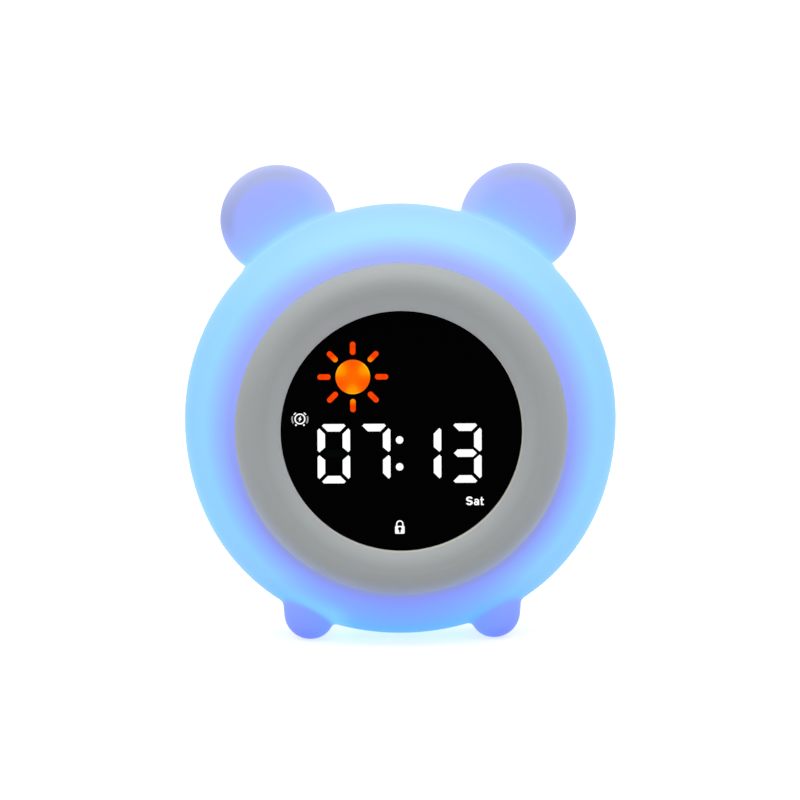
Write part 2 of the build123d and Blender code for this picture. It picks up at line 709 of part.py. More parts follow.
def speaker_basket():
    """A pressed steel frame: a flange, a conical wall with windows and a floor."""
    steel = SPEAKER_STEEL
    seat = GASKET_Y - steel
    mouth = SPEAKER_RADIUS - GASKET_WIDTH
    floor = MAGNET_RADIUS - steel
    eye = COIL_RADIUS + COIL_GAP
    slope = (mouth - floor) / (GASKET_Y - BASKET_FLOOR_Y - steel)
    frame = turned_corners(
        (SPEAKER_RADIUS, GASKET_Y),
        (SPEAKER_RADIUS, seat),
        (mouth + steel - slope * steel, seat),
        (floor + steel - slope * steel, BASKET_FLOOR_Y),
        (eye, BASKET_FLOOR_Y),
        (eye, BASKET_FLOOR_Y + steel),
        (floor, BASKET_FLOOR_Y + steel),
        (mouth, GASKET_Y),
    )
    width, height = SPEAKER_WINDOW
    middle = (seat + BASKET_FLOOR_Y + steel) / 2
    window = Pos(SPEAKER_RADIUS, middle, 0) * Box(SPEAKER_RADIUS, height, width)
    return frame - [Rot(0, angle, 0) * window for angle in POST_ANGLES]


def speaker_cone():
    """A paper cone with a flat rim, a domed cap and the coil's former ahead of it."""
    sheet = CONE_THICKNESS
    mouth = SPEAKER_RADIUS - GASKET_WIDTH - CONE_GAP
    rim = mouth - CONE_RIM
    throat_y = BASKET_FLOOR_Y + CONE_THROAT
    coil_y = BASKET_FLOOR_Y + COIL_GAP
    former = COIL_RADIUS - sheet
    ball = (COIL_RADIUS**2 + DOME_RISE**2) / (2 * DOME_RISE)
    lean = math.degrees(math.acos(COIL_RADIUS / ball))
    cap = CenterArc((0, throat_y + DOME_RISE - ball), ball, lean, 90 - lean)
    under = (cap @ 1).Y - sheet
    return turned(
        cap,
        Polyline(
            cap @ 0,
            (rim - sheet, GASKET_Y),
            (mouth, GASKET_Y),
            (mouth, GASKET_Y - sheet),
            (rim, GASKET_Y - sheet),
            (COIL_RADIUS, throat_y - sheet),
            (COIL_RADIUS, coil_y),
            (former, coil_y),
            (former, throat_y - sheet),
            (0, under),
            (0, (cap @ 1).Y),
        ),
    )


def speaker_magnet():
    """The magnet with its steel plates and the pole that the coil rides round."""
    plate_y = BASKET_FLOOR_Y - MAGNET_PLATE
    body = ring(
        COIL_RADIUS + COIL_GAP, MAGNET_RADIUS - SPEAKER_STEEL, plate_y, BASKET_FLOOR_Y
    )
    body = body + rod(MAGNET_RADIUS, SPEAKER_BACK_Y, plate_y)
    return body + rod(COIL_RADIUS - 2 * COIL_GAP, plate_y, BASKET_FLOOR_Y)


# ---------------------------------------------------------------- back of the clock
def panel_blank():
    """The rear shell with its flat panel, hollow, with a tongue into the housing."""
    hollow_y = SHOULDER_Y - HOUSING_WALL
    plate = rod(PANEL_RADIUS, hollow_y, PANEL_Y)
    edge = plate.edges().filter_by(GeomType.CIRCLE).sort_by(Axis.Y)[-1]
    plate = fillet(edge, PANEL_EDGE)
    shell = rim_solid(JOINT_Y, SHOULDER_Y, HOUSING_INSET) + plate
    shell = shell - rim_solid(JOINT_Y, hollow_y, CAVITY_INSET)
    shell = shell - rod(PANEL_RADIUS - PANEL_WALL, hollow_y, PANEL_INNER_Y)
    tongue = rim_radius(JOINT_Y, CAVITY_INSET) - TONGUE_GAP
    return shell + ring(
        tongue - TONGUE_WALL, tongue, JOINT_Y - TONGUE_LENGTH, JOINT_Y + TONGUE_LENGTH
    )


def key_angles():
    return [k * KEY_STEP for k in range(len(KEY_NAMES))]


def grille_holes():
    holes = [rod(GRILLE_HOLE, PANEL_INNER_Y, PANEL_Y)]
    for k in range(1, GRILLE_RINGS + 1):
        angles = [i * 60 / k for i in range(6 * k)]
        holes += rods(GRILLE_HOLE, PANEL_INNER_Y, PANEL_Y, k * GRILLE_PITCH, angles)
    return holes


def socket_cuts():
    x, z = on_circle(CONTROL_CIRCLE, SOCKET_ANGLE)
    slot = stadium(SOCKET_WIDTH + 2 * SOCKET_GAP, SOCKET_HEIGHT + 2 * SOCKET_GAP, x, z)
    recess = stadium(*SOCKET_RECESS, x, z)
    return [prism(slot, PANEL_INNER_Y, PANEL_Y), prism(recess, RECESS_Y, PANEL_Y)]


def switch_cuts():
    x, z = on_circle(CONTROL_CIRCLE, SWITCH_ANGLE)
    length = KNOB_LENGTH + SWITCH_TRAVEL + 2 * KNOB_GAP
    slot = Pos(x, z) * Rectangle(length, KNOB_WIDTH + 2 * KNOB_GAP)
    recess = stadium(*SWITCH_RECESS, x, z)
    return [prism(slot, PANEL_INNER_Y, PANEL_Y), prism(recess, RECESS_Y, PANEL_Y)]


def rear_cover():
    wall_front = PANEL_INNER_Y - SPEAKER_WALL_DEPTH
    clearance = COVER_SCREW[0] + SCREW_GAP
    head_hole = COVER_SCREW[1] + HEAD_GAP
    boss_tip = REAR_BOARD_FRONT_Y + BOARD_SCREW_LENGTH + PILOT_SPARE
    pilot = SMALL_SCREW[0] + THREAD_GAP
    back = panel_blank() + (
        [ring(SPEAKER_WALL_INNER, SPEAKER_WALL_OUTER, wall_front, PANEL_INNER_Y)]
        + rods(POST_RADIUS, CARRIER_REAR_Y, PANEL_INNER_Y, POST_CIRCLE, POST_ANGLES)
        + rods(
            REAR_BOSS_RADIUS, REAR_BOARD_Y, PANEL_INNER_Y, REAR_BOSS_CIRCLE, REAR_BOSS_ANGLES
        )
    )
    return back - (
        rods(clearance, CARRIER_REAR_Y, PANEL_Y, POST_CIRCLE, POST_ANGLES)
        + rods(head_hole, SCREW_SEAT_Y, PANEL_Y, POST_CIRCLE, POST_ANGLES)
        + rods(pilot, REAR_BOARD_Y, boss_tip, REAR_BOSS_CIRCLE, REAR_BOSS_ANGLES)
        + rods(KEY_RADIUS + KEY_GAP, PANEL_INNER_Y, PANEL_Y, CONTROL_CIRCLE, key_angles())
        + grille_holes()
        + socket_cuts()
        + switch_cuts()
    )


# ---------------------------------------------------------------- rear board and keys
def rear_board():
    board = ring(REAR_BOARD_INNER, REAR_BOARD_OUTER, REAR_BOARD_FRONT_Y, REAR_BOARD_Y)
    clearance = SMALL_SCREW[0] + SCREW_GAP
    return board - rods(
        clearance, REAR_BOARD_FRONT_Y, REAR_BOARD_Y, REAR_BOSS_CIRCLE, REAR_BOSS_ANGLES
    )


def key_switches():
    """The bodies of the six press switches, square to the board's rays."""
    body = slab(TACT_SIZE, TACT_SIZE, REAR_BOARD_Y, TACT_TOP_Y, CONTROL_CIRCLE, 0)
    well_floor = PLUNGER_TOP_Y - TACT_HEIGHT + PLUNGER_ROOT - KEY_TRAVEL - PLUNGER_GAP
    body = body - rod(PLUNGER_RADIUS + PLUNGER_GAP, well_floor, TACT_TOP_Y, CONTROL_CIRCLE, 0)
    return Compound([Rot(0, -angle, 0) * body for angle in key_angles()])


def key_plunger(angle):
    x, z = on_circle(CONTROL_CIRCLE, angle)
    return rod(PLUNGER_RADIUS, REAR_BOARD_Y + PLUNGER_ROOT, PLUNGER_TOP_Y, x, z)


def key_cap(angle):
    """A round key: the cap stands through the back, the flange keeps it in."""
    x, z = on_circle(CONTROL_CIRCLE, angle)
    cap = rod(KEY_RADIUS, KEY_BACK_Y, PANEL_Y + KEY_PROUD, x, z)
    rim = cap.edges().filter_by(GeomType.CIRCLE).sort_by(Axis.Y)[-1]
    cap = fillet(rim, KEY_EDGE)
    cap = cap + rod(KEY_FLANGE_RADIUS, KEY_BACK_Y - KEY_FLANGE, KEY_BACK_Y, x, z)
    return cap + rod(KEY_STEM_RADIUS, PLUNGER_TOP_Y, KEY_BACK_Y - KEY_FLANGE, x, z)


# ---------------------------------------------------------------- socket and switch
def usb_socket_shell():
    x, z = on_circle(CONTROL_CIRCLE, SOCKET_ANGLE)
    outer = stadium(SOCKET_WIDTH, SOCKET_HEIGHT, x, z)
    inner = stadium(SOCKET_WIDTH - 2 * SOCKET_WALL, SOCKET_HEIGHT - 2 * SOCKET_WALL, x, z)
    tube = prism(outer, REAR_BOARD_Y, RECESS_Y)
    return tube - prism(inner, REAR_BOARD_Y + SOCKET_FLOOR, RECESS_Y)


def usb_socket_tongue():
    x, z = on_circle(CONTROL_CIRCLE, SOCKET_ANGLE)
    front = REAR_BOARD_Y + SOCKET_FLOOR
    return slab(*SOCKET_TONGUE, front, RECESS_Y - SOCKET_TONGUE_SHORT, x, z)


def power_switch_can():
    """The steel can of the slide switch, open ahead, with a slot for the stem."""
    x, z = on_circle(CONTROL_CIRCLE, SWITCH_ANGLE)
    sheet = 2 * SWITCH_SHEET
    can = slab(SWITCH_LENGTH, SWITCH_WIDTH, REAR_BOARD_Y, SWITCH_TOP_Y, x, z)
    can = can - slab(
        SWITCH_LENGTH - sheet, SWITCH_WIDTH - sheet,
        REAR_BOARD_Y, SWITCH_TOP_Y - SWITCH_SHEET, x, z,
    )
    length = KNOB_STEM[0] + SWITCH_TRAVEL + 2 * KNOB_GAP
    width = KNOB_STEM[1] + 2 * KNOB_GAP
    return can - slab(length, width, SWITCH_TOP_Y - SWITCH_SHEET, SWITCH_TOP_Y, x, z)


def power_switch_base():
    x, z = on_circle(CONTROL_CIRCLE, SWITCH_ANGLE)
    inside = 2 * SWITCH_SHEET + 2 * PLUNGER_GAP
    return slab(
        SWITCH_LENGTH - inside, SWITCH_WIDTH - inside,
        REAR_BOARD_Y, REAR_BOARD_Y + SWITCH_BASE, x, z,
    )


def power_switch_knob():
    """The sliding knob: thumb piece, dust plate, stem and the foot inside the can."""
    x, z = on_circle(CONTROL_CIRCLE, SWITCH_ANGLE)
    x = x + SWITCH_TRAVEL / 2
    foot_top = SWITCH_TOP_Y - SWITCH_SHEET - KNOB_GAP
    plate_rear = PANEL_INNER_Y - KNOB_GAP
    plate_length = KNOB_LENGTH + 2 * (SWITCH_TRAVEL + KNOB_GAP)
    foot_length, foot_width, foot_height = KNOB_FOOT
    thumb = slab(KNOB_LENGTH, KNOB_WIDTH, plate_rear, PANEL_Y + KNOB_PROUD, x, z)
    thumb = fillet(thumb.edges().sort_by(Axis.Y)[-4:], KNOB_GAP)
    return (
        thumb
        + slab(plate_length, KNOB_PLATE_WIDTH, plate_rear - KNOB_PLATE, plate_rear, x, z)
        + slab(*KNOB_STEM, foot_top, plate_rear - KNOB_PLATE, x, z)
        + slab(foot_length, foot_width, foot_top - foot_height, foot_top, x, z)
    )


# ---------------------------------------------------------------- fasteners
def cover_screws():
    """Four long screws with a cross in the head, down the wells of the back."""
    height = COVER_SCREW[2]
    reach = 1.1 * COVER_SCREW[1]
    group = []
    for angle in POST_ANGLES:
        x, z = on_circle(POST_CIRCLE, angle)
        body = screw(SCREW_SEAT_Y, COVER_SCREW_LENGTH, 1, COVER_SCREW, x, z)
        top = SCREW_SEAT_Y + height
        width = reach / 4
        body = body - slab(reach, width, top - height / 2, top, x, z)
        group.append(body - slab(width, reach, top - height / 2, top, x, z))
    return Compound(group)


def bezel_screws():
    return screws(DECK_REAR_Y, RING_SCREW_LENGTH, 1, SMALL_SCREW, CROWN_RADIUS, QUARTERS)


def main_board_screws():
    return screws(
        BOARD_FRONT_Y, BOARD_SCREW_LENGTH, -1, SMALL_SCREW, BOARD_SCREW_CIRCLE, QUARTERS
    )


def ring_board_screws():
    return screws(LIGHT_BOARD_Y, LIGHT_SCREW_LENGTH, -1, SMALL_SCREW, LIGHT_CIRCLE, QUARTERS)


def rear_board_screws():
    return screws(
        REAR_BOARD_FRONT_Y, BOARD_SCREW_LENGTH, -1, SMALL_SCREW,
        REAR_BOSS_CIRCLE, REAR_BOSS_ANGLES,
    )


# ---------------------------------------------------------------- assembly
def stand(shape):
    """Moves a piece from the clock's own axis to where the clock stands."""
    return Pos(0, EQUATOR_Y, SOLE_DROP) * shape


def pieces():
    made = {
        "silicone_cover": silicone_cover(),
        "diffuser_housing": diffuser_housing(),
        "bezel_ring": bezel_ring(),
        "display_lens": display_lens(),
        "mask_film": mask_film(),
        "segment_reflector": segment_reflector(),
        "digit_segments": diffusers(digit_outlines()),
        "colon_dots": diffusers(colon_outlines()),
        "sun_disc": diffusers([sun_outline()]),
        "sun_rays": diffusers(ray_outlines()),
        "icon_windows": diffusers(icon_outlines()),
        "display_leds": display_leds(),
        "main_board": main_board(),
        "main_board_chips": main_board_chips(),
        "clock_crystal": clock_crystal(),
        "lead_sockets": lead_sockets(),
        "inner_carrier": inner_carrier(),
        "ring_light_board": ring_light_board(),
        "ring_leds": ring_leds(),
        "battery_cell": battery_cell(),
        "battery_tape": battery_tape(),
        "speaker_gasket": speaker_gasket(),
        "speaker_basket": speaker_basket(),
        "speaker_cone": speaker_cone(),
        "speaker_magnet": speaker_magnet(),
        "rear_cover": rear_cover(),
        "rear_board": rear_board(),
        "key_switches": key_switches(),
        "usb_socket_shell": usb_socket_shell(),
        "usb_socket_tongue": usb_socket_tongue(),
        "power_switch_base": power_switch_base(),
        "power_switch_can": power_switch_can(),
        "power_switch_knob": power_switch_knob(),
        "cover_screws": cover_screws(),
        "bezel_screws": bezel_screws(),
        "main_board_screws": main_board_screws(),
        "ring_board_screws": ring_board_screws(),
        "rear_board_screws": rear_board_screws(),
    }
    for name, angle in zip(KEY_NAMES, key_angles()):
        made[name] = key_cap(angle)
        made[name.replace("button", "plunger")] = key_plunger(angle)
    return made


os.makedirs("parts", exist_ok=True)
for name, shape in pieces().items():
    export_step(stand(shape), f"parts/{name}.step")
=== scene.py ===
import json
import math

import bpy
from mathutils import Matrix, Vector


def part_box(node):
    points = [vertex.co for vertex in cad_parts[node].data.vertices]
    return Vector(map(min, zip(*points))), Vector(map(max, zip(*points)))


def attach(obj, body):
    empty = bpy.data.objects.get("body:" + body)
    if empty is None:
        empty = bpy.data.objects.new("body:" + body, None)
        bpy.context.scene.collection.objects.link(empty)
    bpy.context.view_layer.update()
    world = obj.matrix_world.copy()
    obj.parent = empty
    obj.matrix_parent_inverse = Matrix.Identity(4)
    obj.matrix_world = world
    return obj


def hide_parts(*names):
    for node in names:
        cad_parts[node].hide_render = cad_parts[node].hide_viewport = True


# A child's bedside alarm clock with a glowing silicone cover. The front looks along -Y.

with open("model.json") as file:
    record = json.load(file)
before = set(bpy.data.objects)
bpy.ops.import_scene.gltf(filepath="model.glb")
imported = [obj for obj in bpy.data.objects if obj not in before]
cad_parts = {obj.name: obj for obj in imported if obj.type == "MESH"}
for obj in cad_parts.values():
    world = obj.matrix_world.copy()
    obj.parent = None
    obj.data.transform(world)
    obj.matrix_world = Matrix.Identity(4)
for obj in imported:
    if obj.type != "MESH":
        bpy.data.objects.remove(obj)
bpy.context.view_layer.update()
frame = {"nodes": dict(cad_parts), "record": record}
bpy.context.scene.view_settings.view_transform = "Standard"

MM = 0.001

# ---------------------------------------------------------------- places on the clock
lens_low, lens_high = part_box("display_lens")
ring_low, ring_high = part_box("bezel_ring")
cover_low, cover_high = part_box("silicone_cover")
panel_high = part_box("rear_cover")[1]
SOLE_STANDOUT = 0.6 * MM  # how far the flat soles stand out below the round of the body
BODY_RADIUS = (cover_high.x - cover_low.x) / 2
AXIS_Z = cover_low.z + SOLE_STANDOUT + BODY_RADIUS
EQUATOR_Y = (cover_low.y + cover_high.y) / 2
LIP = (cover_high.y - cover_low.y) / 2  # flat lips ahead of and behind the widest plane
LENS_FRONT = lens_low.y
RING_OUTER = (ring_high.x - ring_low.x) / 2
RING_INNER = (lens_high.x - lens_low.x) / 2
PANEL_REAR = panel_high.y

# Rim of the cover and its openings
RIM_ROUND = 24.5 * MM
RIM_CENTRE = BODY_RADIUS - RIM_ROUND
RIM_STEPS = 160  # steps round the rim's section and round the axis
COVER_WALL = 2 * MM
LIP_WALL = 1.8 * MM
FRONT_OPENING = 43.4 * MM
REAR_OPENING = 43.9 * MM
OPENING_REACH = 5 * MM  # how far the tools of the openings stand out of the cover
CHEEK_SWELL = 1.0 * MM  # fullness of the rim low down on each side
CHEEK_START = 46 * MM  # from the axis to where that fullness begins

# Ears, and the webs in the notches at the two ends of an ear's root
EAR_ROUND = 16.4 * MM
EAR_SHORT = 15.75 * MM
EAR_DEPTH = 10.5 * MM
EAR_LEAN = math.radians(18)  # the ear's long axis rises outwards by this
EAR_REACH = 64.04 * MM  # from the clock's axis
EAR_TILT = math.radians(31.5)  # from straight up
EAR_X = EAR_REACH * math.sin(EAR_TILT)
EAR_Y = EQUATOR_Y + 11 * MM
EAR_Z = AXIS_Z + EAR_REACH * math.cos(EAR_TILT)
EAR_WALL = COVER_WALL + 0.2 * MM
WEB_ROUND = 2.4 * MM
WEB_DEPTH = 6 * MM
WEB_Y = EQUATOR_Y + 4 * MM
WEB_REACH = 58 * MM
WEB_TILTS = (math.radians(17.6), math.radians(45.2))

FOOT_X = 26.1 * MM
FOOT_WIDTH = 14 * MM
FOOT_LENGTH = 28 * MM
FOOT_ROOT = 16 * MM
FOOT_ROUND = 6.85 * MM
FOOT_LEAN = 0.065  # how far the sole moves towards the middle for each unit of height
FOOT_CREASE = 10 * MM  # height at which the lean leaves a foot where it is

SKIN_VOXEL = 0.72 * MM
HOLLOW_VOXEL = 1.2 * MM
SKIN_SMOOTHING = 5
SKIN_CREASE = 40  # degrees; sharper edges than this are shaded flat
DOUBLES = 0.002 * MM  # vertices closer than this are one
FINE_DOUBLES = 1e-8  # the same on the small flat shapes
SAME_PLACE = 1e-7  # coordinates closer than this are equal

# The screws that hold the back, along Y
SCREW_FACE = 22.8 * MM
SCREW_CROSS_FLOOR = 21.7 * MM

INK = 0.06 * MM  # thickness of lit shapes and printed marks

# The display's own sizes are in millimetres about the middle of the lens
DIGIT_WIDTH = 8.84
DIGIT_HEIGHT = 16.2
DIGIT_Z = -6.04
STROKE = 2.04
SEGMENT_GAP = 0.7
SEGMENT_CORNER = 0.5
SEGMENT_TIP = 0.42  # end of an upright segment above the middle of its digit
MIDDLE_TIP = 3.1
EDGE_LINE = 0.14  # width of the lilac line inside the outline of digits and dots
DIGITS = {
    0: ("top", "bottom", "upper_left", "upper_right", "lower_left", "lower_right"),
    7: ("top", "upper_right", "lower_right"),
    1: ("upper_right", "lower_right"),
    3: ("top", "middle", "bottom", "upper_right", "lower_right"),
}
DIGIT_PLACES = ((0, -18.35), (7, -7.4), (1, 6.4), (3, 17.35))
COLON_X = -0.5
COLON_SPREAD = 3.68
COLON_RADIUS = 1.02
SUN_X = -13.1
SUN_Z = 14.9
SUN_RADIUS = 4.7
RAYS = 8
RAY_MIDDLE = 7.8
RAY_LENGTH = 3.6
RAY_WIDTH = 1.5
ALARM_ICON = (-27.5, 3.5)
PADLOCK = (-0.52, -26.98)
PADLOCK_SIZE = (2.6, 2.15)
WEEKDAY = (19.93, -20.33)
DISPLAY_ROLL = math.radians(0.27)  # the display board sits a touch turned behind the lens

# Words at the slide switch, with how far they stand beside it, in millimetres
SWITCH_WORDS = (("ON", 7.2), ("OFF", -7.9))
LETTER_PITCH = 1.55
LETTER_WEIGHT = 0.26

# Scales of the noise in the finishes
SILICONE_GRAIN = 9000
MOULD_GRAIN = 5200
MOULD_DRIFT = 45
STEEL_GRAIN = 900

PLASTIC_SPECULAR = 0.4
DISPLAY_SPECULAR = 0.006


# ---------------------------------------------------------------- finishes
def shade(red, green, blue):
    """A colour given as a screen shows it, as the shaders need it."""
    def straight(level):
        level = level / 255
        return level / 12.92 if level <= 0.04045 else ((level + 0.055) / 1.055) ** 2.4
    return (straight(red), straight(green), straight(blue), 1.0)


def dimmed(colour, share):
    return tuple(share * level for level in colour[:3]) + (1.0,)


class Value:
    """A number that varies over a surface; arithmetic on it adds Math nodes."""

    def __init__(self, nodes, socket):
        self.nodes = nodes
        self.socket = socket

    def math(self, operation, *values):
        inputs = dict(enumerate(values))
        return self.nodes.node("ShaderNodeMath", {"operation": operation}, inputs)

    def __add__(self, other):
        return self.math("ADD", self, other)

    def __radd__(self, other):
        return self.math("ADD", other, self)

    def __sub__(self, other):
        return self.math("SUBTRACT", self, other)

    def __rsub__(self, other):
        return self.math("SUBTRACT", other, self)

    def __mul__(self, other):
        return self.math("MULTIPLY", self, other)

    def __rmul__(self, other):
        return self.math("MULTIPLY", other, self)

    def __truediv__(self, other):
        return self.math("DIVIDE", self, other)

    def __rtruediv__(self, other):
        return self.math("DIVIDE", other, self)

    def __pow__(self, other):
        return self.math("POWER", self, other)

    def __rpow__(self, other):
        return self.math("POWER", other, self)

    def __abs__(self):
        return self.math("ABSOLUTE", self)

    def clamped(self):
        return self.math("MINIMUM", self.math("MAXIMUM", self, 0.0), 1.0)


class Nodes:
    """A node tree that grows node by node."""

    def __init__(self, tree):
        self.tree = tree

    def node(self, kind, settings=None, inputs=None, output=0):
        made = self.tree.nodes.new(kind)
        for name, setting in (settings or {}).items():
            if name == "stops":
                stops = made.color_ramp.elements
                while len(stops) < len(setting):
                    stops.new(0.5)
                for stop, (place, colour) in zip(stops, setting):
                    stop.position = place
                    stop.color = colour
            else:
                setattr(made, name, setting)
        for name, value in (inputs or {}).items():
            self.feed(made.inputs[name], value)
        return Value(self, made.outputs[output])

    def feed(self, socket, value):
        if isinstance(value, Value):
            self.tree.links.new(value.socket, socket)
        else:
            socket.default_value = value

    def place(self, kind="Object"):
        """The three coordinates of a place."""
        coordinates = self.node("ShaderNodeTexCoord", output=kind)
        return [
            self.node("ShaderNodeSeparateXYZ", None, {0: coordinates}, axis) for axis in range(3)
        ]

    def step(self, value, start, end, low=0.0, high=1.0):
        """low before start, high after end, and a soft change between them."""
        return self.node(
            "ShaderNodeMapRange",
            {"interpolation_type": "SMOOTHSTEP"},
            {"Value": value, "From Min": start, "From Max": end, "To Min": low, "To Max": high},
        )

    def shown(self):
        """1 where the camera, a gloss or a clear piece shows this, 0 where it only lights."""
        camera, gloss, clear = (
            self.node("ShaderNodeLightPath", output=name)
            for name in ("Is Camera Ray", "Is Glossy Ray", "Is Transmission Ray")
        )
        return camera.math("MAXIMUM", camera, gloss.math("MAXIMUM", gloss, clear))


class Finish(Nodes):
    """One procedural material with a Principled shader."""

    def __init__(self, name):
        self.material = bpy.data.materials.new(name)
        self.material.use_nodes = True
        super().__init__(self.material.node_tree)
        self.shader = self.tree.nodes["Principled BSDF"]

    def set(self, **values):
        """Feeds the shader's sockets; a name here has _ for each space."""
        for name, value in values.items():
            self.feed(self.shader.inputs[name.replace("_", " ")], value)

    def ramp(self, value, *stops):
        """A ramp of colours; each stop is a place and a colour as a screen shows it."""
        colours = [(place, shade(*levels)) for place, *levels in stops]
        return self.node("ShaderNodeValToRGB", {"stops": colours}, {0: value})

    def mix(self, factor, first, second):
        return self.node(
            "ShaderNodeMix",
            {"data_type": "RGBA"},
            {"Factor": factor, 6: first, 7: second},
            2,
        )

    def noise(self, scale, detail=3, roughness=0.5):
        coordinates = self.node("ShaderNodeTexCoord", output="Object")
        return self.node(
            "ShaderNodeTexNoise",
            None,
            {"Vector": coordinates, "Scale": scale, "Detail": detail, "Roughness": roughness},
        )

    def bump(self, height, distance, strength=1.0):
        return self.node(
            "ShaderNodeBump", None, {"Height": height, "Distance": distance, "Strength": strength}
        )


def length_of(first, second):
    return (first * first + second * second) ** 0.5


def body_glow(finish, x, y, reach, height):
    """Cyan over the lamps, violet towards the lips, where the light has further to go."""
    over_lamps = finish.ramp(
        height,
        (0.0, 86, 168, 255),
        (0.06, 110, 182, 255),
        (0.16, 136, 202, 255),
        (0.5, 140, 208, 255),
        (0.76, 149, 213, 255),
        (1.0, 168, 228, 255),
    )
    by_lips = finish.ramp(
        height,
        (0.0, 125, 131, 255),
        (0.2, 138, 148, 255),
        (0.5, 145, 160, 255),
        (0.76, 155, 169, 255),
        (1.0, 167, 181, 255),
    )
    at_edge = finish.ramp(
        height,
        (0.0, 82, 166, 255),
        (0.06, 88, 190, 255),
        (0.15, 112, 198, 255),
        (0.5, 114, 187, 255),
        (0.9, 148, 209, 255),
        (1.0, 152, 198, 255),
    )
    low_down = 1 - finish.step(height, 0.0, 0.2)
    on_top = finish.step(height, 0.75, 0.95)
    fade_start = 53.7 * MM + low_down * 4.5 * MM - on_top * 1.2 * MM
    fade_end = 47 * MM
    near_lip = ((fade_start - reach) / (fade_start - fade_end)).clamped()
    colour = finish.mix(near_lip, over_lamps, by_lips)
    colour = finish.mix(finish.step(reach, 54 * MM, 60.5 * MM) * 0.6, colour, at_edge)

    # A brighter patch over the foot at -X
    left = -1 * x
    patch = finish.step(left, 12 * MM, 20 * MM) * (1 - finish.step(left, 27 * MM, 35 * MM))
    patch = patch * finish.step(reach, 51 * MM, 56 * MM) * (1 - finish.step(height, 0.05, 0.2))
    colour = finish.mix(patch * 0.6, colour, shade(134, 214, 255))

    # The ring's shadow, strongest low down
    under_ring = 1 - finish.step(reach, RING_OUTER + 0.7 * MM, RING_OUTER + 3.3 * MM)
    shadow = under_ring * (1 - finish.step(height, 0.12, 0.62))
    in_front = 1 - finish.step(y, EQUATOR_Y - 18 * MM, EQUATOR_Y - 10 * MM)
    return finish.mix(shadow * in_front * 0.85, colour, shade(138, 148, 200))


def ear_glow(finish, x, z, reach):
    """Cyan at the root, violet further out, and a greyer band along the outer rim where the glow
    fades, with painted light from above that widens and lightens it towards the top.
    """
    aside = abs(x) - EAR_X
    above = z - EAR_Z
    from_ear = length_of(aside, above)
    sideways = aside / from_ear
    upwards = above / from_ear
    core = finish.ramp(
        (reach - 60.4 * MM) / (14 * MM),
        (0.0, 144, 210, 255),
        (0.12, 147, 194, 255),
        (0.26, 150, 184, 255),
        (0.42, 150, 177, 255),
        (0.7, 154, 170, 255),
        (1.0, 157, 169, 255),
    )
    inner_rim = finish.step(from_ear, 9 * MM, 15.5 * MM) * (1 - finish.step(sideways, -0.8, 0.2))
    core = finish.mix(inner_rim * 0.8, core, shade(176, 188, 255))

    # Painted light from above: the grey band along the outer rim widens towards the top, and its
    # colour lightens upwards
    rise = upwards.clamped()
    into_band = (from_ear - 11.1 * MM + rise * 0.9 * MM) / (2.7 * MM + rise * 0.4 * MM)
    rim = finish.step(into_band, 0.0, 1.0) * finish.step(sideways, -0.85, -0.05)
    rim = rim * finish.step(upwards, -0.5, 0.05)
    edge = finish.ramp(
        finish.step(z, EAR_Z - EAR_ROUND, EAR_Z + EAR_ROUND),
        (0.0, 146, 156, 213),
        (0.5, 149, 158, 216),
        (1.0, 168, 176, 223),
    )
    # Painted highlight: the very edge lighter on the upper side
    painted_top_light = finish.step(from_ear, 13.4 * MM, 16.2 * MM) * finish.step(upwards, 0.15, 0.9)
    edge = finish.mix(painted_top_light * 0.48, edge, shade(200, 208, 250))
    return finish.mix(rim, core, edge)


def foot_glow(finish, x, z):
    """Deeper blue towards the sole and on the side towards the other foot."""
    colour = finish.ramp(
        z / (12 * MM), (0.0, 100, 124, 255), (0.35, 124, 146, 255), (1.0, 133, 162, 255)
    )
    inner_side = 1 - finish.step(abs(x), FOOT_X - 6 * MM, FOOT_X + 3 * MM)
    return finish.mix(inner_side * 0.5, colour, shade(112, 160, 255))


def glowing_silicone():
    """Milky silicone with the lamps of the night light behind it."""
    finish = Finish("glowing_silicone")
    x, y, z = finish.place()
    height = (z - AXIS_Z) / BODY_RADIUS * 0.5 + 0.5  # 0 at the bottom of the body, 1 on top
    reach = length_of(x, z - AXIS_Z)
    body = body_glow(finish, x, y, reach, height)
    upper = finish.step(height, 0.45, 0.55)
    limb = finish.mix(upper, foot_glow(finish, x, z), ear_glow(finish, x, z, reach))
    off_body = length_of(reach - RIM_CENTRE, y - EQUATOR_Y) - RIM_ROUND
    outside = finish.step(off_body + upper * 0.2 * MM, 0.4 * MM, 1.9 * MM)
    colour = finish.mix(outside, body, limb)

    cloudy = finish.noise(60, 2)
    grain = finish.noise(SILICONE_GRAIN, 2)
    finish.set(
        Base_Color=(0.03, 0.04, 0.06, 1.0),
        Roughness=grain * 0.08 + 0.42,
        Specular_IOR_Level=0.07,
        Emission_Color=finish.mix(cloudy * 0.06, colour, shade(160, 195, 255)),
        Emission_Strength=0.97,
        Normal=finish.bump(grain, 0.01 * MM, 0.35),
    )
    return finish


def moulded_plastic(name, colour, speckle, roughness, relief, specular=PLASTIC_SPECULAR):
    """Spark-eroded moulded plastic: a fine even grain and a slow drift in colour."""
    finish = Finish(name)
    grain = finish.noise(MOULD_GRAIN, 3, 0.6)
    drift = finish.noise(MOULD_DRIFT, 2)
    finish.set(
        Base_Color=finish.mix(drift * 0.6 + grain * 0.2, shade(*colour), shade(*speckle)),
        Roughness=grain * 0.14 + roughness,
        Specular_IOR_Level=specular,
        Normal=finish.bump(grain, relief * MM, 0.5),
    )
    return finish


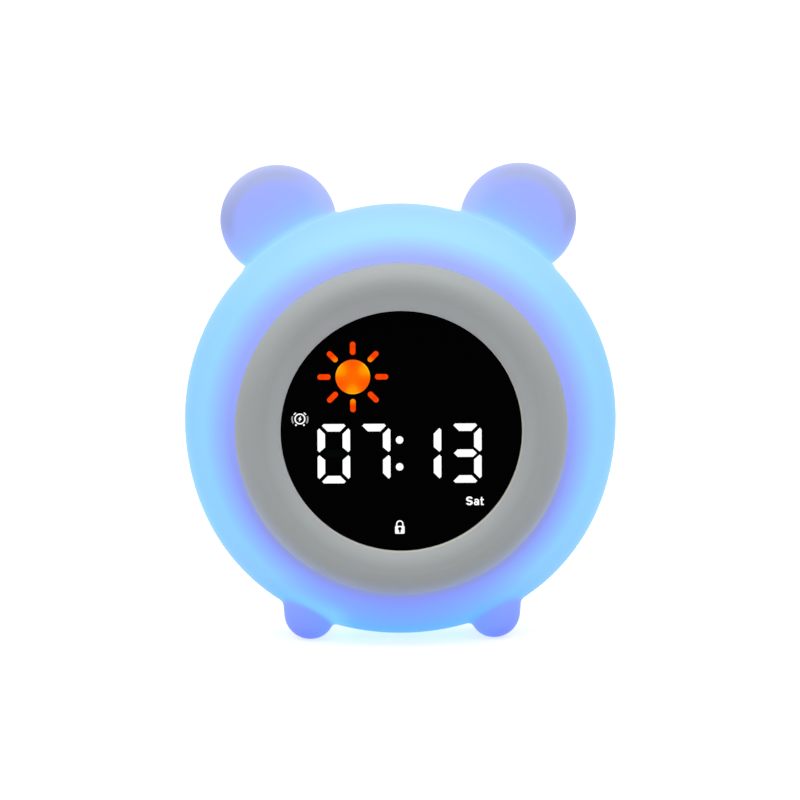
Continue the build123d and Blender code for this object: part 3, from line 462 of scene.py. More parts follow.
def ring_plastic():
    """The front ring: satin grey with painted shading across its section and a painted highlight
    round the lens, picking up the glow low down where it meets the silicone, painted on as
    emission.
    """
    finish = Finish("grey_ring")
    x, _, z = finish.place()
    reach = length_of(x, z - AXIS_Z)
    height = (z - AXIS_Z) / RING_OUTER * 0.5 + 0.5
    grain = finish.noise(MOULD_GRAIN, 3, 0.6)
    drift = finish.noise(MOULD_DRIFT, 2)
    # Painted shading: lighter on the inner slope, darkest near the crown and a little lighter
    # again towards the outer edge
    body = finish.ramp(
        (reach - RING_INNER) / (RING_OUTER - RING_INNER),
        (0.0, 174, 178, 180),
        (0.38, 150, 154, 154),
        (0.75, 153, 157, 157),
    )
    body = finish.mix(drift * 0.5 + grain * 0.15, body, shade(156, 161, 162))

    # A painted highlight: a pale line round the lens along the ring's inner rim, a little off the
    # ring's middle
    off_middle = 0.18 * MM
    from_highlight_middle = length_of(x - off_middle, z - AXIS_Z + off_middle)
    past_highlight = finish.step(from_highlight_middle, RING_INNER + 0.2 * MM, RING_INNER + 0.36 * MM)
    body = finish.mix(past_highlight, shade(190, 189, 177), body)
    # Painted light: the silicone's blue glow on the lower outer ring, given as emission
    glow = finish.step(reach, 41.0 * MM, 45.6 * MM) * (1 - finish.step(height, 0.0, 0.55))
    finish.set(
        Base_Color=body,
        Roughness=grain * 0.14 + 0.5,
        Specular_IOR_Level=PLASTIC_SPECULAR,
        Emission_Color=finish.mix(glow, (0, 0, 0, 1), shade(60, 92, 200)),
        Emission_Strength=0.28,
        Normal=finish.bump(grain, 0.008 * MM, 0.5),
    )
    return finish


def polished_lens():
    finish = Finish("polished_lens")
    haze = finish.noise(80, 4)
    finish.set(
        Base_Color=finish.mix(haze, (0, 0, 0, 1), shade(0, 0, 1)),
        Roughness=haze * 0.05 + 0.04,
        Specular_IOR_Level=DISPLAY_SPECULAR,
    )
    return finish


def behind_lens(finish, cloud, colour, dimmer, strength):
    """Sets a finish to the light of a display window, a little uneven all over."""
    finish.set(
        Base_Color=(0.0, 0.0, 0.0, 1.0),
        Roughness=cloud * 0.1 + 0.2,
        Specular_IOR_Level=DISPLAY_SPECULAR,
        Emission_Color=finish.mix(cloud * 0.12, colour, dimmer),
        Emission_Strength=strength,
    )
    return finish


def lit(name, colour, strength):
    """A display window of one colour."""
    finish = Finish(name)
    return behind_lens(finish, finish.noise(700, 1), colour, dimmed(colour, 0.85), strength)


def sunlit():
    """Three amber lamps behind an orange window: amber where they stand, redder between them."""
    finish = Finish("sunlit")
    x, _, z = finish.place()
    right = x - SUN_X * MM
    up = z - (AXIS_Z + SUN_Z * MM)
    reach = length_of(right, up)
    thrice = up.math("ARCTAN2", up, right) * 3
    lamp = thrice.math("SINE", thrice) * 0.5 + 0.5
    between = finish.mix(
        finish.step(reach, 1.0 * MM, 3.8 * MM),
        shade(255, 104, 0),
        finish.ramp(lamp, (0.0, 255, 90, 0), (0.5, 255, 112, 0), (1.0, 255, 158, 0)),
    )
    rim = finish.step(reach, 4.1 * MM, 4.6 * MM) * finish.step(lamp, 0.5, 1.0) * 0.8
    centre = finish.mix(rim, between, shade(255, 196, 10))
    tip = (1 - finish.step(reach, 5.9 * MM, 8.0 * MM)) * finish.step(lamp, 0.6, 0.9)
    ray = finish.mix(tip, shade(255, 62, 0), shade(255, 150, 0))
    dark_band = (1 - finish.step(abs(reach - 8.3 * MM), 0.15 * MM, 0.75 * MM)) * 0.22
    ray = finish.mix(dark_band, ray, shade(196, 46, 0))
    colour = finish.mix(finish.step(reach, 5.2 * MM, 5.4 * MM), centre, ray)
    return behind_lens(finish, finish.noise(900, 2), colour, shade(255, 120, 0), 1.0)


def metal(name, colour, roughness, streak=STEEL_GRAIN):
    finish = Finish(name)
    grain = finish.noise(streak, 4)
    finish.set(
        Base_Color=finish.mix(grain, colour, dimmed(colour, 0.75)),
        Metallic=1.0,
        Roughness=grain * 0.2 + roughness,
    )
    return finish


def crossed_steel():
    """Screw heads with a bright face and a cross that is dark at its floor, painted shade in the
    recess.
    """
    finish = Finish("crossed_steel")
    grain = finish.noise(STEEL_GRAIN, 4)
    _, y, _ = finish.place()
    face = finish.step(y, SCREW_CROSS_FLOOR + 0.1 * MM, SCREW_FACE - 0.1 * MM)
    plated = finish.mix(grain, (0.4, 0.4, 0.41, 1.0), (0.31, 0.31, 0.32, 1.0))
    finish.set(
        # Painted shade: the floor of the cross is near black
        Base_Color=finish.mix(face, (0.02, 0.02, 0.022, 1.0), plated),
        Metallic=1.0,
        Roughness=grain * 0.2 + 0.36,
    )
    return finish


def set_materials(thing, *materials):
    thing.data.materials.clear()
    for material in materials:
        thing.data.materials.append(material)


# ---------------------------------------------------------------- modelling helpers
def nothing_selected():
    if bpy.context.mode != "OBJECT":
        bpy.ops.object.mode_set(mode="OBJECT")
    bpy.ops.object.select_all(action="DESELECT")


def begin(primitive, **settings):
    """Adds a primitive and opens it for editing."""
    nothing_selected()
    primitive(**settings)
    bpy.ops.object.transform_apply(location=True, rotation=True, scale=True)
    bpy.ops.object.mode_set(mode="EDIT")
    return bpy.context.active_object


def pick(thing, kind, test):
    """Selects only the vertices, edges or faces that the test accepts."""
    bpy.ops.object.mode_set(mode="EDIT")
    bpy.ops.mesh.select_mode(type="VERT")
    bpy.ops.mesh.select_all(action="DESELECT")
    bpy.ops.mesh.select_mode(type=kind)
    bpy.ops.object.mode_set(mode="OBJECT")
    mesh = thing.data
    if kind == "VERT":
        for vertex in mesh.vertices:
            vertex.select = test(vertex.co)
    elif kind == "EDGE":
        for edge in mesh.edges:
            edge.select = test(*(mesh.vertices[k].co for k in edge.vertices))
    else:
        for face in mesh.polygons:
            face.select = test(face)
    bpy.ops.object.mode_set(mode="EDIT")


def done(thing, name):
    bpy.ops.object.mode_set(mode="OBJECT")
    nothing_selected()
    thing.name = name
    thing.data.name = name
    return thing


def tidy(thing):
    """Merges doubles and turns all faces outwards."""
    bpy.ops.object.mode_set(mode="EDIT")
    bpy.ops.mesh.select_all(action="SELECT")
    bpy.ops.mesh.remove_doubles(threshold=DOUBLES)
    bpy.ops.mesh.normals_make_consistent(inside=False)
    bpy.ops.object.mode_set(mode="OBJECT")


def apply(thing, kind, **settings):
    nothing_selected()
    bpy.context.view_layer.objects.active = thing
    thing.select_set(True)
    modifier = thing.modifiers.new(kind.lower(), kind)
    for name, value in settings.items():
        setattr(modifier, name, value)
    bpy.ops.object.modifier_apply(modifier=modifier.name)


def smooth(thing, degrees):
    nothing_selected()
    bpy.context.view_layer.objects.active = thing
    thing.select_set(True)
    bpy.ops.object.shade_smooth_by_angle(angle=math.radians(degrees))
    thing.select_set(False)


def copy_of(thing, name):
    twin = thing.copy()
    twin.data = thing.data.copy()
    twin.name = name
    twin.data.name = name
    bpy.context.scene.collection.objects.link(twin)
    return twin


def joined(things, name):
    nothing_selected()
    for thing in things:
        thing.select_set(True)
    bpy.context.view_layer.objects.active = things[0]
    bpy.ops.object.join()
    return done(bpy.context.active_object, name)


def moved(thing, matrix):
    thing.data.transform(matrix)
    if matrix.determinant() < 0:
        thing.data.flip_normals()
    return thing


def shift(x, z):
    """A move in millimetres to the right and up."""
    return Matrix.Translation((x * MM, 0, z * MM))


def runs_back(a, b):
    """True for an edge from front to back."""
    return abs(a.x - b.x) < SAME_PLACE and abs(a.z - b.z) < SAME_PLACE


def cut(thing, tool):
    apply(thing, "BOOLEAN", operation="DIFFERENCE", solver="EXACT", object=tool)
    bpy.data.objects.remove(tool)


# ---------------------------------------------------------------- silicone cover
def turned_rim(name, inset, half_depth):
    """The rounded rim between two flat planes, closed to the axis, turned about it."""
    thing = begin(
        bpy.ops.mesh.primitive_circle_add,
        vertices=RIM_STEPS,
        radius=RIM_ROUND - inset,
        location=(RIM_CENTRE, EQUATOR_Y, AXIS_Z),
    )
    for side in (-1, 1):
        bpy.ops.mesh.select_all(action="SELECT")
        bpy.ops.mesh.bisect(
            plane_co=(0, EQUATOR_Y + side * half_depth, 0),
            plane_no=(0, side, 0),
            clear_outer=True,
            threshold=0.0001 * MM,
        )
    pick(thing, "VERT", lambda co: co.x < RIM_CENTRE)
    bpy.ops.mesh.delete(type="VERT")
    for side in (-1, 1):
        edge_y = EQUATOR_Y + side * half_depth
        pick(thing, "VERT", lambda co: abs(co.y - edge_y) < 0.001 * MM)
        bpy.ops.object.mode_set(mode="OBJECT")
        edge_x = min(v.co.x for v in thing.data.vertices if v.select)
        bpy.ops.object.mode_set(mode="EDIT")
        bpy.ops.mesh.extrude_region_move(TRANSFORM_OT_translate={"value": (-edge_x, 0, 0)})
    bpy.ops.mesh.select_all(action="SELECT")
    bpy.ops.mesh.spin(
        steps=RIM_STEPS, angle=math.tau, center=(0, EQUATOR_Y, AXIS_Z), axis=(0, 1, 0)
    )
    tidy(thing)
    return done(thing, name)


def ear_ball(name, side, inset):
    thing = begin(
        bpy.ops.mesh.primitive_uv_sphere_add,
        segments=64,
        ring_count=32,
        radius=1,
        location=(side * EAR_X, EAR_Y, EAR_Z),
        rotation=(0, -side * EAR_LEAN, 0),
        scale=(EAR_ROUND - inset, EAR_DEPTH - inset, EAR_SHORT - inset),
    )
    return done(thing, name)


def ear_web(name, side, tilt):
    """Fills the notch between an ear and the rim, at one end of the ear's root."""
    thing = begin(
        bpy.ops.mesh.primitive_uv_sphere_add,
        segments=24,
        ring_count=16,
        radius=1,
        location=(side * WEB_REACH * math.sin(tilt), WEB_Y, AXIS_Z + WEB_REACH * math.cos(tilt)),
        scale=(WEB_ROUND, WEB_DEPTH, WEB_ROUND),
    )
    return done(thing, name)


def foot_stub(name, side):
    """A rod stretched to a stadium, with a rounded edge to its sole and a slight lean."""
    thing = begin(
        bpy.ops.mesh.primitive_cylinder_add,
        vertices=64,
        radius=FOOT_WIDTH / 2,
        depth=FOOT_ROOT,
        location=(side * FOOT_X, EQUATOR_Y, FOOT_ROOT / 2),
    )
    stretch = (FOOT_LENGTH - FOOT_WIDTH) / 2
    for way in (-1, 1):
        pick(thing, "VERT", lambda co: way * (co.y - EQUATOR_Y) > 0.1 * MM)
        bpy.ops.transform.translate(value=(0, way * stretch, 0))
    pick(thing, "EDGE", lambda a, b: max(a.z, b.z) < 0.1 * MM)
    bpy.ops.mesh.bevel(offset=FOOT_ROUND, segments=8, profile=0.5)
    lean = Matrix.Identity(4)
    lean[0][2] = side * FOOT_LEAN
    lean[0][3] = -side * FOOT_LEAN * FOOT_CREASE
    return moved(done(thing, name), lean)


def plug(name, radius, front, rear):
    thing = begin(
        bpy.ops.mesh.primitive_cylinder_add,
        vertices=256,
        radius=radius,
        depth=rear - front,
        location=(0, (front + rear) / 2, AXIS_Z),
        rotation=(math.pi / 2, 0, 0),
    )
    return done(thing, name)


def swell_cheeks(rim):
    """Fills the rim out a little, low down on each side above the feet."""
    group = rim.vertex_groups.new(name="cheeks")
    for vertex in rim.data.vertices:
        across, up = vertex.co.x, vertex.co.z - AXIS_Z
        reach = math.hypot(across, up)
        if up < 0 and reach > CHEEK_START:
            slant = 2 * abs(across) * -up / reach**2  # 1 halfway between the side and the bottom
            outward = (reach - CHEEK_START) / (BODY_RADIUS - CHEEK_START)
            group.add([vertex.index], min(1, slant * slant * outward), "REPLACE")
    apply(rim, "DISPLACE", strength=CHEEK_SWELL, mid_level=0, vertex_group="cheeks")
    rim.vertex_groups.remove(rim.vertex_groups["cheeks"])
    return rim


def silicone_skin(finish):
    """The cover: body, ears and feet as one soft moulding, open front and rear."""
    parts = [swell_cheeks(turned_rim("rim", 0, LIP))]
    parts += [ear_ball("ear", side, 0) for side in (-1, 1)]
    parts += [ear_web("web", side, tilt) for side in (-1, 1) for tilt in WEB_TILTS]
    parts += [foot_stub("foot", side) for side in (-1, 1)]
    skin = joined(parts, "silicone_skin")
    apply(skin, "REMESH", mode="VOXEL", voxel_size=SKIN_VOXEL)
    apply(skin, "SMOOTH", factor=0.5, iterations=SKIN_SMOOTHING)
    hollow = joined(
        [turned_rim("hollow", COVER_WALL, LIP - LIP_WALL)]
        + [ear_ball("ear_hollow", side, EAR_WALL) for side in (-1, 1)],
        "hollow",
    )
    apply(hollow, "REMESH", mode="VOXEL", voxel_size=HOLLOW_VOXEL)
    cut(skin, hollow)
    cut(skin, plug("front_opening", FRONT_OPENING, cover_low.y - OPENING_REACH, EQUATOR_Y))
    cut(skin, plug("rear_opening", REAR_OPENING, EQUATOR_Y, cover_high.y + OPENING_REACH))
    smooth(skin, SKIN_CREASE)
    set_materials(skin, finish.material)
    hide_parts("silicone_cover")
    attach(skin, "clock")


# ---------------------------------------------------------------- flat lit and printed shapes
# They are drawn in millimetres, x to the right and z up, on the plane y = 0 facing -Y, and
# are put in their place when they are whole.
def plate(name, corners):
    """A thin plate with a convex outline: a block cut back along each slanting side."""
    xs = [x * MM for x, z in corners]
    zs = [z * MM for x, z in corners]
    thing = begin(
        bpy.ops.mesh.primitive_cube_add,
        size=1,
        location=((min(xs) + max(xs)) / 2, -INK / 2, (min(zs) + max(zs)) / 2),
        scale=(max(xs) - min(xs), INK, max(zs) - min(zs)),
    )
    middle = Vector((sum(xs) / len(xs), 0, sum(zs) / len(zs)))
    for (x0, z0), (x1, z1) in zip(corners, corners[1:] + corners[:1]):
        if abs(x1 - x0) < 0.001 or abs(z1 - z0) < 0.001:
            continue
        start = Vector((x0 * MM, 0, z0 * MM))
        outward = Vector((z1 - z0, 0, x0 - x1)).normalized()
        if (middle - start).dot(outward) > 0:
            outward = -outward
        bpy.ops.mesh.select_all(action="SELECT")
        bpy.ops.mesh.bisect(
            plane_co=start,
            plane_no=outward,
            use_fill=True,
            clear_outer=True,
            threshold=FINE_DOUBLES,
        )
    return done(thing, name)


def disc(name, x, z, radius, corners=48):
    thing = begin(
        bpy.ops.mesh.primitive_circle_add,
        vertices=corners,
        radius=radius * MM,
        fill_type="NGON",
        location=(x * MM, 0, z * MM),
        rotation=(math.pi / 2, 0, 0),
    )
    bpy.ops.mesh.extrude_region_move(TRANSFORM_OT_translate={"value": (0, -INK, 0)})
    tidy(thing)
    return done(thing, name)


def rounded_block(name, x, z, wide, tall, corner, segments):
    """A flat block with round corners."""
    thing = begin(
        bpy.ops.mesh.primitive_cube_add,
        size=1,
        location=(x * MM, -INK / 2, z * MM),
        scale=(wide * MM, INK, tall * MM),
    )
    pick(thing, "EDGE", runs_back)
    bpy.ops.mesh.bevel(offset=corner * MM, segments=segments, profile=0.5)
    bpy.ops.mesh.select_all(action="SELECT")
    bpy.ops.mesh.remove_doubles(threshold=FINE_DOUBLES)
    return done(thing, name)


def capsule(name, x, z, length, width, degrees=0.0):
    """A bar with round ends, turned about its middle."""
    thing = rounded_block(name, 0, 0, length, width, 0.499 * min(length, width), 8)
    return moved(thing, shift(x, z) @ Matrix.Rotation(-math.radians(degrees), 4, "Y"))


def band(name, x, z, inner, outer, start, end, legs=0.0):
    """A flat arc between two angles, with straight legs down from its ends if wanted."""
    thing = begin(
        bpy.ops.mesh.primitive_plane_add,
        size=1,
        location=((inner + outer) / 2 * MM, -INK / 2, 0),
    )
    bpy.ops.transform.resize(value=((outer - inner) * MM, INK, 1))
    bpy.ops.mesh.select_all(action="SELECT")
    if abs(end - start) > 359.9:  # a whole ring needs no faces at its ends
        bpy.ops.mesh.delete(type="ONLY_FACE")
        bpy.ops.mesh.select_all(action="SELECT")
    bpy.ops.mesh.spin(
        steps=max(8, round(abs(end - start) / 7.5)),
        angle=math.radians(end - start),
        center=(0, 0, 0),
        axis=(0, 1, 0),
    )
    if legs:
        pick(thing, "FACE", lambda face: abs(face.center.z) < 1e-6)
        bpy.ops.mesh.extrude_region_move(TRANSFORM_OT_translate={"value": (0, 0, -legs * MM)})
    tidy(thing)
    done(thing, name)
    return moved(thing, shift(x, z) @ Matrix.Rotation(-math.radians(start), 4, "Y"))


def stroke(name, path, width):
    """A line of even width along a path."""
    thing = begin(bpy.ops.mesh.primitive_plane_add, size=1)
    pick(thing, "VERT", lambda co: co.x + co.y < 0.9)
    bpy.ops.mesh.delete(type="VERT")
    bpy.ops.mesh.select_all(action="SELECT")
    last = Vector((0.5, 0.5, 0))
    for x, z in path:
        step = Vector((x * MM, 0, z * MM)) - last
        if last.y:
            bpy.ops.transform.translate(value=step)
        else:
            bpy.ops.mesh.extrude_region_move(TRANSFORM_OT_translate={"value": step})
        last = last + step
    bpy.ops.mesh.select_all(action="SELECT")
    bpy.ops.mesh.extrude_region_move(TRANSFORM_OT_translate={"value": (0, -INK, 0)})
    done(thing, name)
    apply(thing, "SOLIDIFY", thickness=width * MM, offset=0, use_even_offset=True)
    tidy(thing)
    return done(thing, name)


def fused(things, name):
    """Flat shapes that overlap, as one outline."""
    whole, *rest = things
    for thing in rest:
        apply(whole, "BOOLEAN", operation="UNION", solver="EXACT", object=thing)
        bpy.data.objects.remove(thing)
    return done(whole, name)


def sized(thing, wide, tall, x=0, z=0):
    """Stretches a flat shape about the origin and puts it in its place."""
    return moved(thing, shift(x, z) @ Matrix.Diagonal((wide, 1, tall, 1)))


def bright_edge(thing):
    """Insets the faces that look forward, so the rim can have a colour of its own."""
    pick(thing, "FACE", lambda face: face.normal.y < -0.9)
    bpy.ops.mesh.inset(thickness=EDGE_LINE * MM)
    bpy.ops.object.mode_set(mode="OBJECT")
    for face in thing.data.polygons:
        face.material_index = 0 if face.select and face.normal.y < -0.9 else 1
    nothing_selected()


def on_lens(thing, slot, *finishes):
    """Seats a finished shape on the lens."""
    seat = Matrix.Translation((0, LENS_FRONT, AXIS_Z))
    moved(thing, seat @ Matrix.Rotation(DISPLAY_ROLL, 4, "Y"))
    kept = [face.material_index for face in thing.data.polygons]
    set_materials(thing, *(finish.material for finish in finishes))
    for face, index in zip(thing.data.polygons, kept):
        face.material_index = min(index, len(finishes) - 1)
    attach(thing, "clock")


def segment(kind):
    """Outline of one segment about the middle of its digit."""
    half = DIGIT_WIDTH / 2
    top = DIGIT_HEIGHT / 2
    cut_off = SEGMENT_CORNER
    end = half - SEGMENT_GAP
    bar = [(end - 2 * cut_off, top), (end - cut_off, top - cut_off), (end - STROKE, top - STROKE)]
    bar = bar + [(-x, z) for x, z in reversed(bar)]
    under = top - SEGMENT_GAP
    upright = [
        (half, under - 2 * cut_off),
        (half - cut_off, under - cut_off),
        (half - STROKE, under - STROKE),
        (half - STROKE, STROKE / 2 + SEGMENT_GAP),
        (half - cut_off, SEGMENT_TIP),
        (half, SEGMENT_TIP + cut_off),
    ]
    shoulder = MIDDLE_TIP - STROKE / 2
    middle = [
        (MIDDLE_TIP, 0),
        (shoulder, STROKE / 2),
        (-shoulder, STROKE / 2),
        (-MIDDLE_TIP, 0),
        (-shoulder, -STROKE / 2),
        (shoulder, -STROKE / 2),
    ]
    return {
        "top": bar,
        "bottom": [(x, -z) for x, z in bar],
        "middle": middle,
        "upper_right": upright,
        "upper_left": [(-x, z) for x, z in upright],
        "lower_right": [(x, -z) for x, z in upright],
        "lower_left": [(-x, -z) for x, z in upright],
    }[kind]


def lit_time():
    for figure, place in DIGIT_PLACES:
        bars = []
        for kind in DIGITS[figure]:
            bar = plate("bar", segment(kind))
            bright_edge(bar)
            bars.append(moved(bar, shift(place, DIGIT_Z)))
        on_lens(joined(bars, f"lit_digit_{figure}"), "white_epoxy", white_glow, lilac_edge)
    unlit = plate("unlit_segment", segment("middle"))
    on_lens(moved(unlit, shift(DIGIT_PLACES[0][1], DIGIT_Z)), "white_epoxy", unlit_window)
    dots = [disc("dot", COLON_X, DIGIT_Z + side * COLON_SPREAD, COLON_RADIUS) for side in (-1, 1)]
    for dot in dots:
        bright_edge(dot)
    on_lens(joined(dots, "lit_colon"), "white_epoxy", white_glow, lilac_edge)


def lit_sun():
    on_lens(disc("lit_sun_disc", SUN_X, SUN_Z, SUN_RADIUS, 96), "orange_epoxy", sun_glow)
    ray = capsule("ray", RAY_MIDDLE, 0, RAY_LENGTH, RAY_WIDTH)
    rays = []
    for k in range(RAYS):
        turn = Matrix.Rotation(k * math.tau / RAYS, 4, "Y")
        rays.append(moved(copy_of(ray, "ray"), shift(SUN_X, SUN_Z) @ turn))
    bpy.data.objects.remove(ray)
    on_lens(joined(rays, "lit_sun_rays"), "orange_epoxy", sun_glow)


def lit_alarm_icon():
    x, z = ALARM_ICON
    shapes = [band("ring", x, z, 1.15, 1.5, 0, 360)]
    bolt = [
        plate(
            "bolt",
            [
                (x + way * 0.26, z + way * 0.8),
                (x - way * 0.56, z - way * 0.06),
                (x + way * 0.12, z - way * 0.06),
            ],
        )
        for way in (-1, 1)
    ]
    shapes.append(fused(bolt, "bolt"))
    for side in (-1, 1):
        shapes.append(capsule("bell", x + side * 1.37, z + 1.42, 0.84, 0.3, -side * 45))
        shapes.append(disc("foot", x + side * 1.08, z - 1.67, 0.25, 20))
    on_lens(joined(shapes, "lit_alarm_icon"), "white_epoxy", white_glow)
    waves = [
        band("wave", x, z, 1.93, 2.33, 160, 213),
        band("wave", x, z, 1.93, 2.33, -33, 20),
    ]
    on_lens(joined(waves, "lit_alarm_waves"), "white_epoxy", grey_glow)


def lit_padlock():
    x, z = PADLOCK
    body = rounded_block("lock_body", x, z, *PADLOCK_SIZE, 0.3, 5)
    keyhole = disc("keyhole", x, z + 0.3, 0.5, 32)
    slot = capsule("keyhole_slot", x, z - 0.2, 0.5, 1.2)
    for tool in (keyhole, slot):
        tool.data.transform(Matrix.Translation((0, INK, 0)) @ Matrix.Scale(3, 4, (0, 1, 0)))
        cut(body, tool)
    shackle = band("shackle", x, z + 1.6, 0.66, 1.02, 0, 180, legs=0.55)
    on_lens(joined([body, shackle], "lit_padlock"), "white_epoxy", white_glow)


def lit_weekday():
    """Three letters standing on z = 0, the capital 2.4 high, put in their place as a word."""
    bend, half = 0.49, 0.225
    capital = fused(
        [
            band("s_top", 0, bend, bend - half, bend + half, 12, 270),
            band("s_low", 0, -bend, bend - half, bend + half, -168, 90),
        ],
        "s",
    )
    small_a = fused(
        [
            band("a_top", 0, 1.12, 0.27, 0.65, 0, 155),
            band("a_bowl", -0.1, 0.55, 0.2, 0.57, 0, 360),
            capsule("a_stem", 0.46, 0.6, 0.38, 1.2),
        ],
        "a",
    )
    small_t = fused(
        [
            capsule("t_stem", -0.08, 1.14, 0.4, 2.28),
            capsule("t_bar", 0, 1.52, 1.06, 0.36),
            capsule("t_foot", 0.2, 0.2, 0.62, 0.38),
        ],
        "t",
    )
    letters = [
        sized(capital, 1.27, 1, -1.5, 1.2),
        sized(small_a, 1.1, 1, 0.42),
        sized(small_t, 1, 1, 1.9),
    ]
    word = moved(joined(letters, "lit_weekday"), shift(*WEEKDAY))
    on_lens(word, "white_epoxy", white_glow)


# ---------------------------------------------------------------- marks on the back
def on_back(thing, x, y, z, body):
    """Turns a finished mark to face the rear and seats it."""
    moved(thing, Matrix.Translation((x, y, z)) @ Matrix.Rotation(math.pi, 4, "Z"))
    set_materials(thing, printed_grey.material)
    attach(thing, body)


def bell_mark():
    dome = disc("dome", 0, 0.35, 1.15, 32)
    skirt = plate("skirt", [(-1.15, 0.35), (1.15, 0.35), (1.55, -1.0), (-1.55, -1.0)])
    clapper = disc("clapper", 0, -1.45, 0.38, 20)
    knob = disc("knob", 0, 1.78, 0.24, 16)
    return [fused([dome, skirt], "bell"), clapper, knob]


def arrow_mark(way):
    return [plate("arrow", [(-1.5, -way * 0.9), (1.5, -way * 0.9), (0, way * 1.4)])]


def bulb_mark():
    glass = band("glass", 0, 0.45, 1.05, 1.45, -62, 242)
    neck = [capsule("neck", 0, -1.05 - 0.55 * k, 1.25 - 0.35 * k, 0.34) for k in range(2)]
    return [glass] + neck


def note_mark():
    head = disc("head", -0.55, -1.1, 0.62, 24)
    stem = plate("stem", [(-0.2, -1.1), (0.1, -1.1), (0.1, 1.7), (-0.2, 1.7)])
    flag = plate("flag", [(0.05, 1.7), (0.05, 1.0), (1.15, 0.35), (1.15, 0.85)])
    return [fused([head, stem, flag], "note")]


def clock_mark():
    minute_hand = capsule("minute_hand", 0, 0.42, 0.3, 1.1)
    hour_hand = capsule("hour_hand", 0.32, 0, 0.9, 0.3)
    return [band("rim", 0, 0, 1.35, 1.72, 0, 360), fused([minute_hand, hour_hand], "hands")]


def key_marks():
    marks = {
        "alarm": bell_mark(),
        "up": arrow_mark(1),
        "light": bulb_mark(),
        "sound": note_mark(),
        "down": arrow_mark(-1),
        "clock": clock_mark(),
    }
    for key, shapes in marks.items():
        low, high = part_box(key + "_button")
        mark = joined(shapes, key + "_mark")
        on_back(mark, (low.x + high.x) / 2, high.y - INK / 3, (low.z + high.z) / 2, key + "_key")


def letter(kind):
    """A capital 1.5 high about the origin."""
    if kind == "O":
        return sized(band("O", 0, 0, 0.6 - LETTER_WEIGHT, 0.6, 0, 360), 1, 1.25)
    if kind == "N":
        path = [(-0.42, -0.75), (-0.42, 0.58), (0.42, -0.58), (0.42, 0.75)]
        return stroke("N", path, LETTER_WEIGHT)
    return fused(
        [
            stroke("F", [(-0.35, -0.75), (-0.35, 0.62), (0.48, 0.62)], LETTER_WEIGHT),
            stroke("F_bar", [(-0.35, 0.0), (0.36, 0.0)], LETTER_WEIGHT),
        ],
        "F",
    )


def switch_marks():
    low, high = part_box("power_switch_can")
    middle, level = (low.x + high.x) / 2, (low.z + high.z) / 2
    for word, aside in SWITCH_WORDS:
        shapes = [
            moved(letter(kind), shift((k - (len(word) - 1) / 2) * LETTER_PITCH, 0))
            for k, kind in enumerate(word)
        ]
        mark = joined(shapes, word.lower() + "_mark")
        on_back(mark, middle + aside * MM, PANEL_REAR, level, "clock")


# ---------------------------------------------------------------- stage
def area_light(name, place, aim, size, power):
    nothing_selected()
    bpy.ops.object.light_add(type="AREA", location=place)
    light = bpy.context.active_object
    light.name = name
    light.data.shape = "RECTANGLE"
    light.data.size, light.data.size_y = size
    light.data.energy = power
    light.rotation_mode = "QUATERNION"
    light.rotation_quaternion = (Vector(aim) - Vector(place)).to_track_quat("-Z", "Y")


def studio():
    centre = (0, EQUATOR_Y, AXIS_Z)
    area_light("top_softbox", (0, -0.34, 1.3), centre, (1.6, 1.2), 15)
    area_light("left_softbox", (-1.3, -0.2, 0.45), centre, (0.9, 1.2), 0.65)
    area_light("right_softbox", (1.3, -0.2, 0.45), centre, (0.9, 1.2), 0.25)

    # The sky is seen as white, but it lights less, and least of all from the front
    world = bpy.data.worlds.new("studio")
    bpy.context.scene.world = world
    world.use_nodes = True
    sky = Nodes(world.node_tree)
    _, y, _ = sky.place("Generated")
    light = sky.step(y, -1.0, -0.35, 0.22, 0.74)
    level = sky.node(
        "ShaderNodeMapRange",
        None,
        {"Value": sky.shown(), "To Min": light, "To Max": 1.0},
    )
    background = world.node_tree.nodes["Background"]
    background.inputs["Color"].default_value = (1, 1, 1, 1)
    sky.feed(background.inputs["Strength"], level)

    nothing_selected()
    bpy.ops.mesh.primitive_plane_add(size=60, location=(0, 0, -0.02 * MM))
    floor = bpy.context.active_object
    floor.name = "floor"
    finish = Finish("pale_floor")
    finish.set(
        Base_Color=(0.8, 0.8, 0.8, 1.0),
        Roughness=0.9,
        Specular_IOR_Level=0.0,
        Emission_Color=(1.0, 1.0, 1.0, 1.0),
        Emission_Strength=finish.shown() * 0.6,
    )
    set_materials(floor, finish.material)


def camera():
    """Looks at the front, slightly from above."""
    rise = math.radians(6.3)
    turn = Matrix.Rotation(-math.radians(0.45), 3, "Z")
    roll = math.radians(0.5)
    distance = 1.2
    width = 0.2226  # what the camera sees across, at the widest plane
    sensor = 36
    back = turn @ Vector((0, -math.cos(rise), math.sin(rise)))
    up = turn @ Vector((0, math.sin(rise), math.cos(rise)))
    aim = Vector((-0.06 * MM, EQUATOR_Y, AXIS_Z)) + 5.2 * MM * up
    nothing_selected()
    bpy.ops.object.camera_add(location=aim + back * distance)
    eye = bpy.context.active_object
    eye.name = "camera"
    eye.data.sensor_width = sensor
    eye.data.lens = sensor * distance / width
    eye.data.clip_start = 0.01
    eye.data.clip_end = 100
    stance = (-back).to_track_quat("-Z", "Y").to_matrix() @ Matrix.Rotation(-roll, 3, "Z")
    eye.rotation_mode = "QUATERNION"
    eye.rotation_quaternion = stance.to_quaternion()
    bpy.context.scene.camera = eye


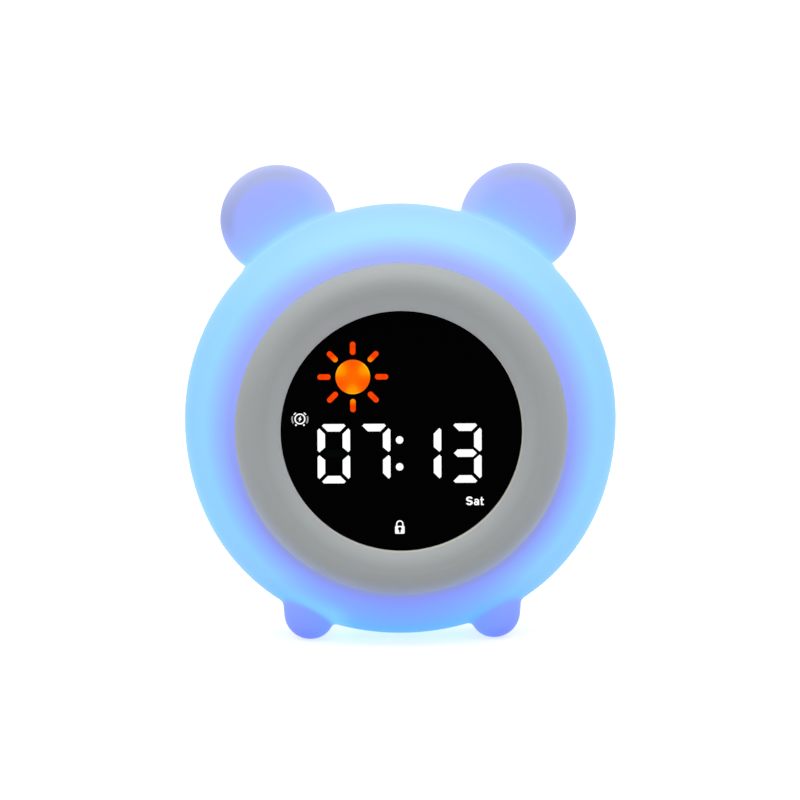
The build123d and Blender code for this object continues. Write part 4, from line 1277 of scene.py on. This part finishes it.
# ---------------------------------------------------------------- finishes of the CAD nodes
silicone = glowing_silicone()
grey_ring = ring_plastic()
white_shell = moulded_plastic("white_shell", (222, 224, 226), (216, 219, 222), 0.48, 0.008)
milky_shell = moulded_plastic("milky_shell", (226, 232, 240), (214, 224, 236), 0.35, 0.004)
key_white = moulded_plastic("key_white", (206, 210, 214), (200, 204, 209), 0.34, 0.003)
chip_black = moulded_plastic("chip_black", (30, 30, 32), (40, 40, 42), 0.45, 0.004)
board_green = moulded_plastic("board_green", (20, 84, 48), (26, 98, 58), 0.3, 0.004)
lead_white = moulded_plastic("lead_white", (232, 230, 218), (224, 222, 208), 0.35, 0.003)
soft_black = moulded_plastic("soft_black", (26, 26, 28), (36, 36, 38), 0.8, 0.03, 0.2)
lens_black = polished_lens()
steel = metal("bright_steel", (0.62, 0.62, 0.63, 1.0), 0.22)
screw_steel = metal("screw_steel", (0.36, 0.36, 0.37, 1.0), 0.34)
well_steel = crossed_steel()
dark_steel = metal("dark_steel", (0.10, 0.10, 0.11, 1.0), 0.35)
pouch_foil = metal("pouch_foil", (0.55, 0.56, 0.57, 1.0), 0.42, 300)
white_glow = lit("white_glow", shade(255, 255, 255), 1.05)
lilac_edge = lit("lilac_edge", shade(196, 180, 255), 0.8)
grey_glow = lit("grey_glow", shade(168, 174, 184), 0.9)
unlit_window = lit("unlit_window", shade(1, 5, 6), 1.0)
sun_glow = sunlit()
printed_grey = moulded_plastic("printed_grey", (96, 99, 104), (108, 110, 114), 0.5, 0.002)
orange_window = moulded_plastic("orange_window", (255, 140, 40), (250, 120, 30), 0.3, 0.002)

by_slot = {
    "glow_silicone": silicone,
    "milky_plastic": milky_shell,
    "grey_plastic": grey_ring,
    "dark_lens": lens_black,
    "black_film": chip_black,
    "white_plastic": white_shell,
    "key_plastic": key_white,
    "white_epoxy": lead_white,
    "orange_epoxy": orange_window,
    "board_green": board_green,
    "chip_black": chip_black,
    "lead_white": lead_white,
    "bright_steel": steel,
    "dark_steel": dark_steel,
    "foil_pouch": pouch_foil,
    "black_foam": soft_black,
    "cone_paper": soft_black,
}
slot_of = {part["node"]: part["material_slot"] for part in frame["record"]["subparts"]}
for name, node in frame["nodes"].items():
    finish = by_slot[slot_of[name]]
    if name.endswith("_screws"):
        finish = well_steel if name == "cover_screws" else screw_steel
    set_materials(node, finish.material)

# ---------------------------------------------------------------- pieces
silicone_skin(silicone)
lit_time()
lit_sun()
lit_alarm_icon()
lit_padlock()
lit_weekday()
key_marks()
switch_marks()

studio()
camera()
